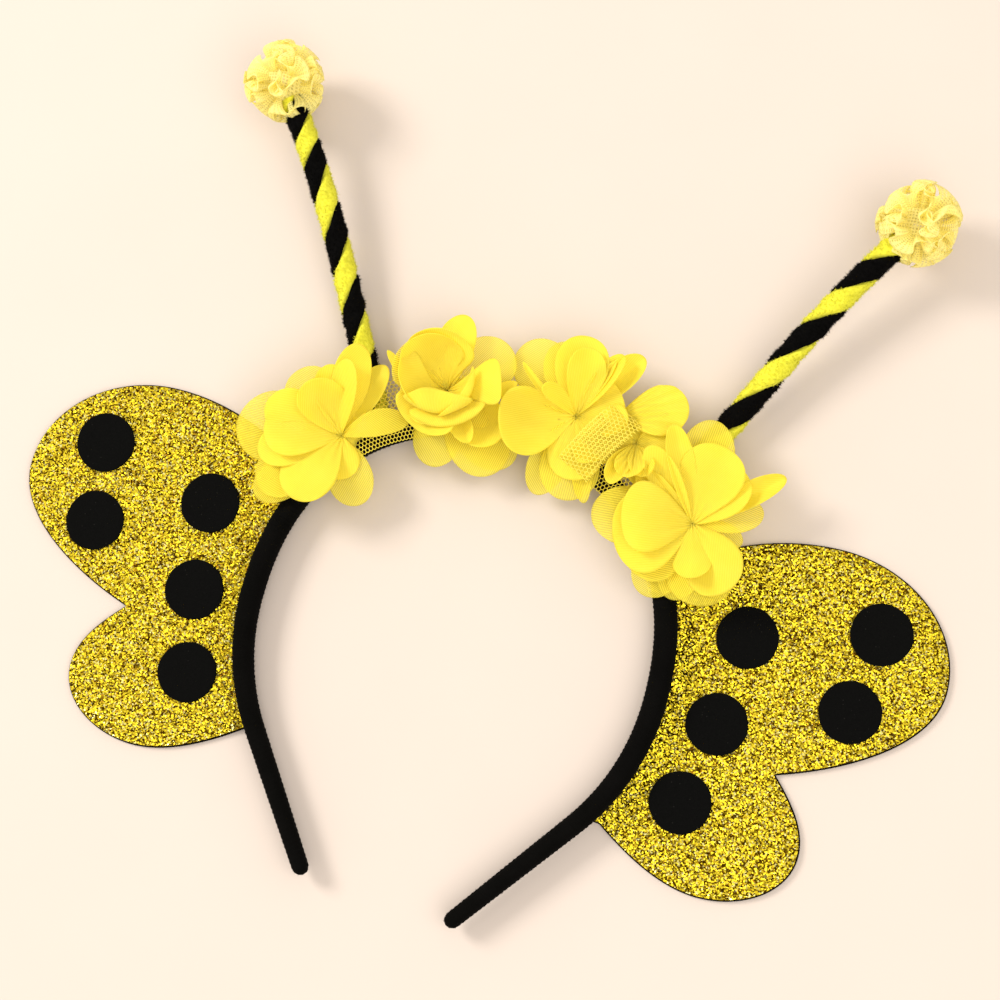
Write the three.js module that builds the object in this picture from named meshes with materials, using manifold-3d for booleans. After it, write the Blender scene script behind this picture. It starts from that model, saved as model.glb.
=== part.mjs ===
// Bee antenna headband: a velvet hoop with glitter wings, chiffon flowers and two pompom antennae.
// It lies on its back: +X runs across the wings, +Y to the antennae, +Z up to the flowers.
// While it is built, x = 0 is the mirror line, y = 0 the notch of the wings and z = 0 the wings' back.

import * as THREE from 'three';
import { mergeVertices } from 'three/addons/utils/BufferGeometryUtils.js';
import Module from 'manifold-3d';

const wasm = await Module();
wasm.setup();

// Driving dimensions, in millimetres and degrees.

const GAP = 0.3; // glued or sewn faces lie this far apart

// Band
const BAND_HALF_WIDTH = 68.5; // centre of one arm to the mirror line, at the widest
const BAND_WIDEST_Y = -4.5;
const BAND_CROWN_RISE = 72; // from the widest level up to the middle of the crown
const BAND_CROWN_POWER = 2.2; // 2 would be an ellipse, more is squarer
const BAND_CHEEK_RADIUS = 75; // below the widest level each arm turns inwards
const BAND_THICK = 7.6; // seen from the front
const BAND_DEEP = 9; // front to back
const BAND_TIP_THICK = 5.4;
const BAND_TIP_DEEP = 7;
const BAND_TIP_ROUND = 3.2;

const BAND_ARM_LENGTH = 50; // straight end of an arm

// The band's two arms are sprung a little unevenly: how far each turns inwards, in degrees, and its
// straight end as a share of the arm length.
const BAND_ARMS = {
  left: { turn: 34.5, straight: 0.99 },
  right: { turn: 37.5, straight: 1.03 },
};

// Wings
const WING_SPAN = 84.5; // from the band's outer edge to the wing's far edge
const WING_HEIGHT = 118.8;
const WING_DROP = 10.9; // the wing's top lies this far below the crown's
const WING_TOP_ANGLE = 31; // clock angle on the crown where the wing comes out from behind the band
const WING_TUCK = 0.5; // the wing ends this far inside the band's centre line, behind it
const FELT_THICK = 1.2;
const FELT_RIM = 0.5; // felt that shows round the glitter sheet
const GLITTER_THICK = 0.6;
const DOT_DIAMETER = 20;
const DOT_THICK = 0.8;

// Net tape and flowers
const TAPE_WIDTH = 22;
const TAPE_THICK = 1;
const TAPE_INNER_EDGE = 4; // the tape starts this far inside the band's centre line
const TAPE_START = 31; // clock angles on the crown, from the right arm
const TAPE_END = 143;
const PETAL_LENGTH = 25;
const PETAL_WIDTH = 24;
const PETAL_THICK = 1;
const PETAL_RISE = 15; // height of the steepest petal's tip over its root
const HEART_DIAMETER = 12; // sewn middle of a flower
const HEART_HEIGHT = 3.5;
const HEART_TOP = 0.8; // its top is this share of its foot
const PETAL_ROOT = 0.34; // a petal starts this share of the heart's diameter from its middle
const PETAL_WIDEST = 0.62; // share of a petal's length where it is widest
const PETAL_ROUNDING = 0.1; // the sides end this share short of the tip
const FOLDED = 0.8; // a petal with this much cup is creased along its middle
const NEARLY_FLAT = 0.15; // a petal with no more cup than this is one shallow fold

// Antennae
const ANTENNA_LENGTH = 126; // from the band's centre line to the middle of the pompom
const TWIST_PITCH = 27;
const ANTENNA_RISE = 13; // the pompom's centre lies this far above the root
const CHENILLE_DIAMETER = 4;
const CHENILLE_OFFSET = 2.3; // from the antenna's axis to the middle of each wire
const SOCKET_DEPTH = 9; // how deep the wires reach into the pompom
const POMPOM_DIAMETER = 28;
const POMPOM_HEAD_DIAMETER = 17;
const RUFFLE_THICK = 1.4;
const RUFFLE_WAVE = 2.4; // how far a ruffle's edge swings to each side
const RUFFLE_SPREAD = 0.62; // half of the angle that a ruffle spans, in radians
const RUFFLE_ROOT = 0.4; // a ruffle starts this share of the head's diameter from its middle
const RUFFLE_COUNT = 9;

// How far a corner moves for its faces to move by 1, on a thin plate
const CORNER_PUSH = 1.5;

// Fineness of the round forms
const BAND_SIDES = 10;
const CROWN_STEPS = 24;
const CHEEK_STEPS = 6;
const ARM_STEPS = 3;
const WING_CURVE_STEPS = 7;
const TAPE_STEPS = 16;
const WING_EDGE_STEPS = 4;
const DOT_SIDES = 24;
const WIRE_SIDES = 6;
const WIRE_STEPS_PER_TURN = 8;
const ANTENNA_STEPS = 24;

// Levels, from the wings' back upwards
const GLITTER_Z = FELT_THICK + GAP;
const WING_FRONT_Z = GLITTER_Z + GLITTER_THICK;
const DOT_Z = WING_FRONT_Z + GAP;
const BAND_Z = WING_FRONT_Z + GAP + BAND_DEEP / 2;
const TAPE_Z = BAND_Z + BAND_DEEP / 2 + GAP;
const HEART_Z = TAPE_Z + TAPE_THICK + GAP;

const WIRE_REACH = CHENILLE_OFFSET + CHENILLE_DIAMETER / 2;
const UP = new THREE.Vector3(0, 0, 1);
const GOLDEN_ANGLE = Math.PI * (3 - Math.sqrt(5));

// Right wing outline, from the crown round to the arm: cubic curves whose points are shares of the
// span, from the band's outer edge, and of the height, from the wing's top. The last one ends on the
// arm's outer edge.
const WING_OUTLINE = [
  { name: 'top', ax: 0.02, ay: 0.066, bx: 0.27, by: 0, x: 0.494, y: 0 },
  { name: 'outer shoulder', ax: 0.766, ay: 0, bx: 1, by: 0.131, x: 1, y: 0.304 },
  { name: 'notch', ax: 1, ay: 0.451, bx: 0.73, by: 0.569, x: 0.456, y: 0.633 },
  { name: 'lower lobe', ax: 0.541, ay: 0.695, bx: 0.61, by: 0.754, x: 0.61, y: 0.826 },
  { name: 'bottom', ax: 0.61, ay: 0.927, bx: 0.452, by: 1, x: 0.28, y: 1 },
  { name: 'back to the arm', ax: 0.127, ay: 1, bx: -0.027, by: 0.935, x: -0.146, y: 0.876 },
];
const WING_FOOT = WING_OUTLINE[WING_OUTLINE.length - 1];

// Centres of the five spots on the right wing, in the same shares.
const WING_DOTS = [
  { x: 0.715, y: 0.2 },
  { x: 0.669, y: 0.422 },
  { x: 0.231, y: 0.295 },
  { x: 0.198, y: 0.541 },
  { x: 0.136, y: 0.768 },
];

// Flowers: seat is the clock angle on the crown, out the share of the tape's width from its inner
// edge. Each petal has its turn in degrees from +X, and its reach, tip rise, width, arch (lift of its
// middle) and cup (lift of its two sides) as shares of the petal sizes above.
const FLOWERS = [
  {
    name: 'flower_1', seat: 133.5, out: 0.39, petals: [
      { turn: -112, reach: 1.04, rise: 0.13, width: 0.78, arch: 0.2, cup: -0.25 },
      { turn: -65, reach: 0.95, rise: -0.13, width: 0.67, arch: 0.15, cup: -0.1 },
      { turn: 21, reach: 0.92, rise: 0.05, width: 0.7, arch: 0.2, cup: 0.35 },
      { turn: 88, reach: 1.14, rise: 0.3, width: 0.54, arch: 0.1, cup: 0.1 },
      { turn: 68, reach: 1.09, rise: 0.07, width: 0.5, arch: 0.1, cup: 0.1 },
      { turn: 95, reach: 0.8, rise: 0.73, width: 0.62, arch: 0.05, cup: 0.3 },
      { turn: 128, reach: 0.62, rise: 0.93, width: 0.83, arch: 0.05, cup: 0.3 },
      { turn: 142, reach: 1, rise: 0.2, width: 0.83, arch: 0.1, cup: 0.1 },
      { turn: 180, reach: 1.05, rise: 0.47, width: 0.98, arch: 0.1, cup: 0.25 },
      { turn: 187, reach: 1.42, rise: -0.13, width: 1, arch: 0.2, cup: 0 },
      { turn: 220, reach: 1.3, rise: -0.07, width: 0.92, arch: 0.3, cup: 0.1 },
      { turn: 235, reach: 1.52, rise: -0.4, width: 0.92, arch: 0.2, cup: -0.1 },
    ],
  },
  {
    name: 'flower_2', seat: 104.2, out: 0.63, petals: [
      { turn: 122, reach: 0.65, rise: 1, width: 0.92, arch: -0.2, cup: 0.35 },
      { turn: -76, reach: 0.5, rise: 0.8, width: 1.15, arch: -0.2, cup: 0.4 },
      { turn: 26, reach: 0.74, rise: 0.6, width: 0.92, arch: -0.1, cup: 0.3 },
      { turn: 93, reach: 0.97, rise: 0.2, width: 0.7, arch: 0.15, cup: 0.1 },
      { turn: 51, reach: 0.95, rise: 0, width: 0.83, arch: 0.2, cup: 0 },
      { turn: 161, reach: 0.82, rise: 0.47, width: 0.38, arch: 0, cup: 1.1 },
      { turn: -116, reach: 0.65, rise: 0.2, width: 0.58, arch: 0.1, cup: 0.4 },
      { turn: -92, reach: 0.9, rise: -0.27, width: 0.92, arch: 0.15, cup: -0.1 },
      { turn: -54, reach: 0.74, rise: 0.33, width: 0.42, arch: 0, cup: 0.9 },
      { turn: -43, reach: 1.16, rise: -0.2, width: 0.92, arch: 0.15, cup: -0.1 },
      { turn: 12, reach: 0.96, rise: 0.33, width: 0.38, arch: 0, cup: 1.1 },
      { turn: -23, reach: 0.98, rise: 0.07, width: 0.75, arch: -0.2, cup: 0.5 },
    ],
  },
  {
    name: 'flower_3', seat: 75.9, out: 0.7, petals: [
      { turn: 195, reach: 0.94, rise: 0.47, width: 1.25, arch: -0.2, cup: 0.35 },
      { turn: 161, reach: 0.5, rise: 0.87, width: 0.42, arch: 0, cup: 0.9 },
      { turn: 140, reach: 1.2, rise: -0.07, width: 1, arch: 0.15, cup: 0 },
      { turn: 118, reach: 0.97, rise: 0.07, width: 0.7, arch: 0.15, cup: 0.1 },
      { turn: 98, reach: 0.94, rise: 0.33, width: 0.8, arch: 0.1, cup: 0.2 },
      { turn: 85, reach: 0.7, rise: 0.8, width: 0.75, arch: 0, cup: 0.3 },
      { turn: 68, reach: 0.78, rise: 0.47, width: 0.35, arch: 0, cup: 1 },
      { turn: 57, reach: 1.04, rise: 0.33, width: 0.62, arch: 0, cup: 0.6 },
      { turn: -87, reach: 0.96, rise: -0.13, width: 1.2, arch: 0.2, cup: -0.1 },
      { turn: -113, reach: 1, rise: -0.4, width: 0.6, arch: 0.2, cup: 0 },
      { turn: -66, reach: 0.9, rise: -0.07, width: 0.5, arch: 0.1, cup: 0.5 },
    ],
  },
  {
    name: 'flower_4', seat: 61.2, out: 0.86, petals: [
      { turn: 60, reach: 0.8, rise: 0.33, width: 1.1, arch: 0, cup: 0.25 },
      { turn: 210, reach: 0.95, rise: 0.73, width: 0.92, arch: 0.25, cup: -0.1 },
      { turn: -103, reach: 0.57, rise: 0.13, width: 0.75, arch: 0.1, cup: 0.5 },
    ],
  },
  {
    name: 'flower_5', seat: 38.8, out: 0.86, petals: [
      { turn: 98, reach: 1.14, rise: 0.73, width: 1.2, arch: 0.05, cup: 0.3 },
      { turn: 80, reach: 1.2, rise: 0.33, width: 0.95, arch: 0.05, cup: 0.1 },
      { turn: 39, reach: 1.24, rise: 0.27, width: 0.5, arch: 0, cup: 0.8 },
      { turn: 22, reach: 0.9, rise: 0, width: 0.75, arch: 0.15, cup: 0.1 },
      { turn: -8, reach: 0.64, rise: -0.13, width: 0.5, arch: 0.1, cup: 0.3 },
      { turn: -51, reach: 1, rise: 0.33, width: 1.2, arch: 0.15, cup: -0.2 },
      { turn: -68, reach: 1.08, rise: -0.13, width: 0.92, arch: 0.2, cup: 0 },
      { turn: -73, reach: 0.72, rise: 0.8, width: 0.8, arch: 0, cup: -0.5 },
      { turn: 197, reach: 0.86, rise: 0.87, width: 1.35, arch: -0.1, cup: 0.2 },
      { turn: 186, reach: 1.28, rise: 0, width: 1.08, arch: 0.2, cup: 0 },
      { turn: 222, reach: 0.9, rise: 0, width: 1.08, arch: 0.2, cup: 0 },
      { turn: 247, reach: 1.08, rise: -0.2, width: 0.95, arch: 0.2, cup: 0.1 },
      { turn: 137, reach: 1, rise: 0.6, width: 0.6, arch: 0, cup: 0.6 },
    ],
  },
];

// The flowers as they were laid; a later one gives way to an earlier one.
const LAYING_ORDER = ['flower_2', 'flower_1', 'flower_5', 'flower_3', 'flower_4'];

// Antennae: seat on the crown, lean away from +Y, length and pitch as shares of the named ones, and
// the turn of the yellow wire at the root.
const ANTENNAE = [
  { side: 'left', seat: 123.6, lean: 29.9, length: 0.975, pitch: 0.87, start: 200 },
  { side: 'right', seat: 45, lean: -29.2, length: 1.03, pitch: 1.15, start: 20 },
].map((row) => ({
  ...row,
  length: row.length * ANTENNA_LENGTH,
  pitch: row.pitch * TWIST_PITCH,
}));

// Bow of an antenna: along and aside are shares of its length, lift of its rise.
const ANTENNA_BOW = [
  { along: 0, aside: 0, lift: 0 },
  { along: 0.22, aside: 0.006, lift: 0 },
  { along: 0.42, aside: 0.014, lift: 0.15 },
  { along: 0.6, aside: 0.02, lift: 0.4 },
  { along: 0.8, aside: 0.016, lift: 0.7 },
  { along: 1, aside: 0, lift: 1 },
];

const VELVET = { color: 0x0c0c0d, roughness: 1, metalness: 0 };
const FELT = { color: 0x0e0e0f, roughness: 1, metalness: 0 };
const GLITTER = { color: 0xc39a1e, roughness: 0.45, metalness: 0.6 };
const NET = { color: 0xf0d838, roughness: 0.9, metalness: 0 };
const CHIFFON = { color: 0xffe92b, roughness: 0.85, metalness: 0 };
const CHENILLE_YELLOW = { color: 0xe2e61a, roughness: 1, metalness: 0 };
const CHENILLE_BLACK = { color: 0x0b0b0c, roughness: 1, metalness: 0 };
const TULLE = { color: 0xf8de7a, roughness: 0.9, metalness: 0 };

const radians = THREE.MathUtils.degToRad;

// A closed geometry as a solid, for joining and cutting.
function toSolid(geometry) {
  const bare = geometry.clone();
  bare.deleteAttribute('normal');
  bare.deleteAttribute('uv');
  const merged = mergeVertices(bare, 1e-4);
  return new wasm.Manifold(new wasm.Mesh({
    numProp: 3,
    vertProperties: new Float32Array(merged.attributes.position.array),
    triVerts: new Uint32Array(merged.index.array),
  }));
}

function toGeometry(solid) {
  const mesh = solid.getMesh();
  const geometry = new THREE.BufferGeometry();
  geometry.setAttribute('position', new THREE.BufferAttribute(mesh.vertProperties, 3));
  geometry.setIndex(new THREE.BufferAttribute(mesh.triVerts, 1));
  geometry.computeVertexNormals();
  return geometry;
}

// A sphere's grid drawn out along a path. Each row of the grid becomes the oval section of one
// station: its middle, its across and up directions, and its half sizes along them.
function sweptBody(stations, sides) {
  const body = new THREE.SphereGeometry(1, sides, stations.length - 1);
  const position = body.attributes.position;
  stations.forEach((station, row) => {
    for (let column = 0; column <= sides; column += 1) {
      const turn = (2 * Math.PI * column) / sides;
      const point = station.at.clone()
        .addScaledVector(station.across, -Math.cos(turn) * station.wide)
        .addScaledVector(station.up, Math.sin(turn) * station.deep);
      position.setXYZ(row * (sides + 1) + column, point.x, point.y, point.z);
    }
  });
  return body;
}

// Point on the crown at a clock angle from the right arm, out from the band's centre line.
function onCrown(angle, out = 0) {
  const power = 2 / BAND_CROWN_POWER;
  const cosine = Math.cos(radians(angle));
  const sine = Math.max(Math.sin(radians(angle)), 0);
  const x = BAND_HALF_WIDTH * Math.sign(cosine) * Math.abs(cosine) ** power;
  const y = BAND_WIDEST_Y + BAND_CROWN_RISE * sine ** power;
  const normal = new THREE.Vector2(
    (Math.sign(cosine) * Math.abs(cosine) ** (2 - power)) / BAND_HALF_WIDTH,
    sine ** (2 - power) / BAND_CROWN_RISE,
  ).normalize();
  return new THREE.Vector2(x, y).addScaledVector(normal, out);
}

// An arm's centre line below the widest level: an arc that turns inwards, then a straight.
function armPoints(arm, side) {
  const points = [];
  for (let step = 1; step <= CHEEK_STEPS; step += 1) {
    const turn = radians((arm.turn * step) / CHEEK_STEPS);
    const x = BAND_HALF_WIDTH - BAND_CHEEK_RADIUS * (1 - Math.cos(turn));
    const y = BAND_WIDEST_Y - BAND_CHEEK_RADIUS * Math.sin(turn);
    points.push(new THREE.Vector2(side * x, y));
  }
  const start = points[points.length - 1];
  const turn = radians(arm.turn);
  const heading = new THREE.Vector2(-side * Math.sin(turn), -Math.cos(turn));
  const straight = arm.straight * BAND_ARM_LENGTH;
  const lengths = [];
  for (let step = 1; step <= ARM_STEPS; step += 1) {
    lengths.push(((straight - BAND_TIP_ROUND) * step) / ARM_STEPS);
  }
  lengths.push(straight - BAND_TIP_ROUND * 0.3, straight);
  lengths.forEach((length) => points.push(start.clone().addScaledVector(heading, length)));
  return points;
}

const LEFT_ARM = armPoints(BAND_ARMS.left, -1);
const RIGHT_ARM = armPoints(BAND_ARMS.right, 1);

function bandCentreLine() {
  const crown = [];
  for (let step = 0; step <= CROWN_STEPS; step += 1) {
    crown.push(onCrown(180 - (180 * step) / CROWN_STEPS));
  }
  return [...LEFT_ARM.slice().reverse(), ...crown, ...RIGHT_ARM];
}

// The band, or a form that stands off it by grow on every side.
function bandBody(grow = 0) {
  const line = bandCentreLine();
  const last = line.length - 1;
  const armRows = RIGHT_ARM.length;
  const stations = line.map((point, row) => {
    const before = line[Math.max(row - 1, 0)];
    const after = line[Math.min(row + 1, last)];
    const heading = after.clone().sub(before).normalize();
    const rowsFromTip = Math.min(row, last - row);
    const taper = Math.min(rowsFromTip / armRows, 1);
    let round = 1;
    if (rowsFromTip === 0) round = 0;
    if (rowsFromTip === 1) round = 0.75;
    return {
      at: new THREE.Vector3(point.x, point.y, BAND_Z),
      across: new THREE.Vector3(-heading.y, heading.x, 0),
      up: UP,
      wide: round * (THREE.MathUtils.lerp(BAND_TIP_THICK, BAND_THICK, taper) / 2 + grow),
      deep: round * (THREE.MathUtils.lerp(BAND_TIP_DEEP, BAND_DEEP, taper) / 2 + grow),
    };
  });
  return sweptBody(stations, BAND_SIDES);
}

// Place on a wing from its shares of the span and height.
function onWing(share, side) {
  const x = BAND_HALF_WIDTH + BAND_THICK / 2 + share.x * WING_SPAN;
  const top = BAND_WIDEST_Y + BAND_CROWN_RISE - WING_DROP;
  return new THREE.Vector2(side * x, top - share.y * WING_HEIGHT);
}

// Point on an arm's centre line at a level, between the two nearest of its points.
function onArm(arm, y) {
  const next = Math.max(arm.findIndex((point) => point.y < y), 1);
  const share = (arm[next - 1].y - y) / (arm[next - 1].y - arm[next].y);
  return arm[next - 1].clone().lerp(arm[next], share);
}

// The edge hidden behind the band: from the band's outer edge at the wing's foot, up along the
// centre line, a little inside it.
function hiddenWingEdge(side) {
  const arm = side < 0 ? LEFT_ARM : RIGHT_ARM;
  const foot = onArm(arm, onWing(WING_FOOT, side).y);
  const inside = arm
    .filter((point) => point.y > foot.y + WING_TUCK)
    .reverse()
    .map((point) => new THREE.Vector2(point.x - side * WING_TUCK, point.y));
  for (let step = 0; step <= WING_EDGE_STEPS; step += 1) {
    const place = onCrown((WING_TOP_ANGLE * step) / WING_EDGE_STEPS, -WING_TUCK);
    inside.push(new THREE.Vector2(side * place.x, place.y));
  }
  return [new THREE.Vector2(foot.x - side * WING_TUCK, foot.y), ...inside];
}

function wingPlate(side, rim, thick, z) {
  const shape = new THREE.Shape();
  const start = onCrown(WING_TOP_ANGLE, WING_TUCK);
  const hidden = hiddenWingEdge(side);
  shape.moveTo(side * start.x, start.y);
  WING_OUTLINE.forEach((curve) => {
    const a = onWing({ x: curve.ax, y: curve.ay }, side);
    const b = onWing({ x: curve.bx, y: curve.by }, side);
    const end = onWing(curve, side);
    if (curve === WING_FOOT) end.x = hidden[0].x + side * (WING_TUCK + BAND_THICK / 2);
    shape.bezierCurveTo(a.x, a.y, b.x, b.y, end.x, end.y);
  });
  hidden.forEach((point) => shape.lineTo(point.x, point.y));
  const outline = shape.getPoints(WING_CURVE_STEPS);
  const inset = new THREE.Shape(insetOutline(outline, rim));
  const plate = new THREE.ExtrudeGeometry(inset, { depth: thick, bevelEnabled: false });
  return plate.translate(0, 0, z);
}

// Moves each corner of a closed outline inwards, along the mean of its two edges' normals.
function insetOutline(points, inset) {
  const ring = points.filter((point, i) => i === 0 || point.distanceTo(points[i - 1]) > 1e-3);
  if (ring[0].distanceTo(ring[ring.length - 1]) < 1e-3) ring.pop();
  const inward = THREE.ShapeUtils.isClockWise(ring) ? -1 : 1;
  return ring.map((point, i) => {
    const before = ring[(i + ring.length - 1) % ring.length];
    const after = ring[(i + 1) % ring.length];
    const heading = after.clone().sub(before).normalize();
    return new THREE.Vector2(
      point.x - heading.y * inset * inward,
      point.y + heading.x * inset * inward,
    );
  });
}

function dotBody(share, side) {
  const centre = onWing(share, side);
  const radius = DOT_DIAMETER / 2;
  const dot = new THREE.CylinderGeometry(radius, radius, DOT_THICK, DOT_SIDES);
  return dot.rotateX(Math.PI / 2).translate(centre.x, centre.y, DOT_Z + DOT_THICK / 2);
}

// The flat tape along the crown, or a form that stands off it by grow on every side.
function tapeBody(grow = 0) {
  const inner = [];
  const outer = [];
  for (let step = 0; step <= TAPE_STEPS; step += 1) {
    const angle = THREE.MathUtils.lerp(TAPE_START, TAPE_END, step / TAPE_STEPS);
    inner.push(onCrown(angle, -TAPE_INNER_EDGE - grow));
    outer.push(onCrown(angle, TAPE_WIDTH - TAPE_INNER_EDGE + grow));
  }
  const shape = new THREE.Shape([...inner, ...outer.reverse()]);
  const options = { depth: TAPE_THICK + 2 * grow, bevelEnabled: false };
  return new THREE.ExtrudeGeometry(shape, options).translate(0, 0, TAPE_Z - grow);
}

// Width of a petal at a share of its length: a narrow root, widest past the middle, a round tip.
function petalOutline(share) {
  const narrow = 0.16;
  if (share < PETAL_WIDEST) {
    return narrow + (1 - narrow) * Math.sin((Math.PI / 2) * (share / PETAL_WIDEST));
  }
  const tip = 1.1 * (1 - PETAL_WIDEST);
  return Math.sqrt(1 - ((share - PETAL_WIDEST) / tip) ** 2);
}

// The same closed form with every corner pushed out along its normal, to clear it by about gap.
function standOff(geometry, gap) {
  const bare = geometry.clone();
  bare.deleteAttribute('normal');
  bare.deleteAttribute('uv');
  const merged = mergeVertices(bare, 1e-4);
  merged.computeVertexNormals();
  const { position, normal } = merged.attributes;
  const push = gap * CORNER_PUSH;
  for (let i = 0; i < position.count; i += 1) {
    position.setXYZ(
      i,
      position.getX(i) + normal.getX(i) * push,
      position.getY(i) + normal.getY(i) * push,
      position.getZ(i) + normal.getZ(i) * push,
    );
  }
  return merged;
}

// One petal: a thin box bent along its length by arch and rise, and across its width by cup. The
// steeper it rises, the higher up the heart it is sewn.
function petalBody(petal, heart) {
  const bowl = Math.abs(petal.cup) > NEARLY_FLAT && petal.cup < FOLDED;
  const body = new THREE.BoxGeometry(1, 1, 1, bowl ? 3 : 2, 3, 1);
  const position = body.attributes.position;
  const heading = new THREE.Vector2(Math.cos(radians(petal.turn)), Math.sin(radians(petal.turn)));
  const length = petal.reach * PETAL_LENGTH;
  const low = PETAL_THICK / 2 + Math.max(petal.rise, 0) * (HEART_HEIGHT - PETAL_THICK);
  const rise = petal.rise * PETAL_RISE + HEART_HEIGHT / 2 - low;
  const arch = petal.arch * PETAL_RISE;
  const root = PETAL_ROOT * HEART_DIAMETER;
  for (let i = 0; i < position.count; i += 1) {
    const side = 2 * position.getX(i);
    const share = 1 - (0.5 - position.getY(i)) ** 1.5;
    const half = (petalOutline(share) * petal.width * PETAL_WIDTH) / 2;
    const rounding = 1 - PETAL_ROUNDING * side * side * share;
    const distance = root + (length - root) * share * rounding;
    const slope = Math.atan2(rise + arch * Math.PI * Math.cos(Math.PI * share), length);
    const away = position.getZ(i) * PETAL_THICK;
    const lift = rise * share + arch * Math.sin(Math.PI * share) + petal.cup * half * side * side;
    const reach = distance - Math.sin(slope) * away;
    const aside = side * half;
    position.setXYZ(
      i,
      heart.x + heading.x * reach + heading.y * aside,
      heart.y + heading.y * reach - heading.x * aside,
      HEART_Z + low + lift + Math.cos(slope) * away,
    );
  }
  return body;
}

// The bodies of one flower: its sewn middle and its petals.
function flowerBodies(flower) {
  const heart = onCrown(flower.seat, flower.out * TAPE_WIDTH - TAPE_INNER_EDGE);
  const radius = HEART_DIAMETER / 2;
  const button = new THREE.CylinderGeometry(radius * HEART_TOP, radius, HEART_HEIGHT, 10);
  button.rotateX(Math.PI / 2).translate(heart.x, heart.y, HEART_Z + HEART_HEIGHT / 2);
  return [button, ...flower.petals.map((petal) => petalBody(petal, heart))];
}

function joined(bodies) {
  return bodies.map(toSolid).reduce((solid, body) => solid.add(body));
}

// Points of an antenna's axis, from the band's centre line to the middle of the pompom.
function antennaAxis(antenna) {
  const root = onCrown(antenna.seat);
  const lean = radians(antenna.lean);
  const along = new THREE.Vector2(-Math.sin(lean), Math.cos(lean));
  const points = ANTENNA_BOW.map((row) => new THREE.Vector3(
    root.x + (along.x * row.along + along.y * row.aside * Math.sign(antenna.lean)) * antenna.length,
    root.y + (along.y * row.along - along.x * row.aside * Math.sign(antenna.lean)) * antenna.length,
    BAND_Z + row.lift * ANTENNA_RISE,
  ));
  return new THREE.CatmullRomCurve3(points);
}

// A round body with flat ends along part of an antenna's axis; offset and turn make it a wire of
// the twist.
function alongAntenna(antenna, end, radius, offset, turn, steps) {
  const axis = antennaAxis(antenna);
  const stations = [];
  for (let row = 0; row <= steps; row += 1) {
    const share = (end * row) / steps;
    const heading = axis.getTangentAt(share);
    const across = new THREE.Vector3().crossVectors(UP, heading).normalize();
    const up = new THREE.Vector3().crossVectors(heading, across).normalize();
    const angle = radians(turn) + (2 * Math.PI * share * antenna.length) / antenna.pitch;
    const at = axis.getPointAt(share)
      .addScaledVector(across, offset * Math.cos(angle))
      .addScaledVector(up, offset * Math.sin(angle));
    stations.push({ at, across, up, wide: radius, deep: radius });
  }
  const start = { ...stations[0], wide: 0, deep: 0 };
  const finish = { ...stations[steps], wide: 0, deep: 0 };
  return sweptBody([start, ...stations, finish], WIRE_SIDES + (offset === 0 ? 2 : 0));
}

function wireSolid(antenna, turn, bandClear) {
  const end = 1 - (POMPOM_DIAMETER / 2 - SOCKET_DEPTH) / antenna.length;
  const steps = Math.round((end * antenna.length * WIRE_STEPS_PER_TURN) / antenna.pitch);
  const radius = CHENILLE_DIAMETER / 2;
  const wire = alongAntenna(antenna, end, radius, CHENILLE_OFFSET, antenna.start + turn, steps);
  return toSolid(wire).subtract(bandClear);
}

// The room that both wires of an antenna take, with the gap round them.
function antennaClear(antenna) {
  const end = 1 - (POMPOM_DIAMETER / 2 - SOCKET_DEPTH - GAP) / antenna.length;
  return toSolid(alongAntenna(antenna, end, WIRE_REACH + 2 * GAP, 0, 0, ANTENNA_STEPS));
}

// One ruffle: a thin wavy fan that stands on the head and ends on the ball's outer face. It points
// along outwards and is turned about it by twist.
function ruffleBody(centre, outwards, twist) {
  const body = new THREE.BoxGeometry(1, 1, 1, 4, 1, 1);
  const position = body.attributes.position;
  const inner = RUFFLE_ROOT * POMPOM_HEAD_DIAMETER;
  const aim = new THREE.Quaternion().setFromUnitVectors(new THREE.Vector3(0, 1, 0), outwards);
  for (let i = 0; i < position.count; i += 1) {
    const sweep = 2 * position.getX(i);
    const share = position.getY(i) + 0.5;
    const wave = share * Math.sin(sweep * Math.PI) * RUFFLE_WAVE;
    const radius = THREE.MathUtils.lerp(inner, POMPOM_DIAMETER / 2, share);
    const point = new THREE.Vector3(
      Math.sin(sweep * RUFFLE_SPREAD) * radius,
      Math.cos(sweep * RUFFLE_SPREAD) * radius,
      position.getZ(i) * RUFFLE_THICK + wave,
    );
    point.applyAxisAngle(new THREE.Vector3(0, 1, 0), twist).applyQuaternion(aim).add(centre);
    position.setXYZ(i, point.x, point.y, point.z);
  }
  return body;
}

// Ruffles spread evenly over a head: each one lower than the last and a golden angle round.
function pompomSolid(antenna, clear) {
  const centre = antennaAxis(antenna).getPointAt(1);
  const head = new THREE.SphereGeometry(POMPOM_HEAD_DIAMETER / 2, 8, 6);
  const ruffles = [];
  for (let i = 0; i < RUFFLE_COUNT; i += 1) {
    const height = 1 - (2 * (i + 0.5)) / RUFFLE_COUNT;
    const turn = i * GOLDEN_ANGLE;
    const flat = Math.sqrt(1 - height * height);
    const outwards = new THREE.Vector3(flat * Math.cos(turn), flat * Math.sin(turn), height);
    ruffles.push(ruffleBody(centre, outwards, turn));
  }
  return joined([head.translate(centre.x, centre.y, centre.z), ...ruffles]).subtract(clear);
}

// A cut may leave slivers that hang on nothing: only the main body is kept.
function mainBody(solid) {
  return solid.decompose().reduce((a, b) => (b.volume() > a.volume() ? b : a));
}

const assembly = new THREE.Group();

function addPiece(name, geometry, finish) {
  const mesh = new THREE.Mesh(geometry, new THREE.MeshStandardMaterial(finish));
  mesh.name = name;
  assembly.add(mesh);
}

addPiece('band', bandBody(), VELVET);
const bandClear = toSolid(bandBody(GAP));

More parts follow.
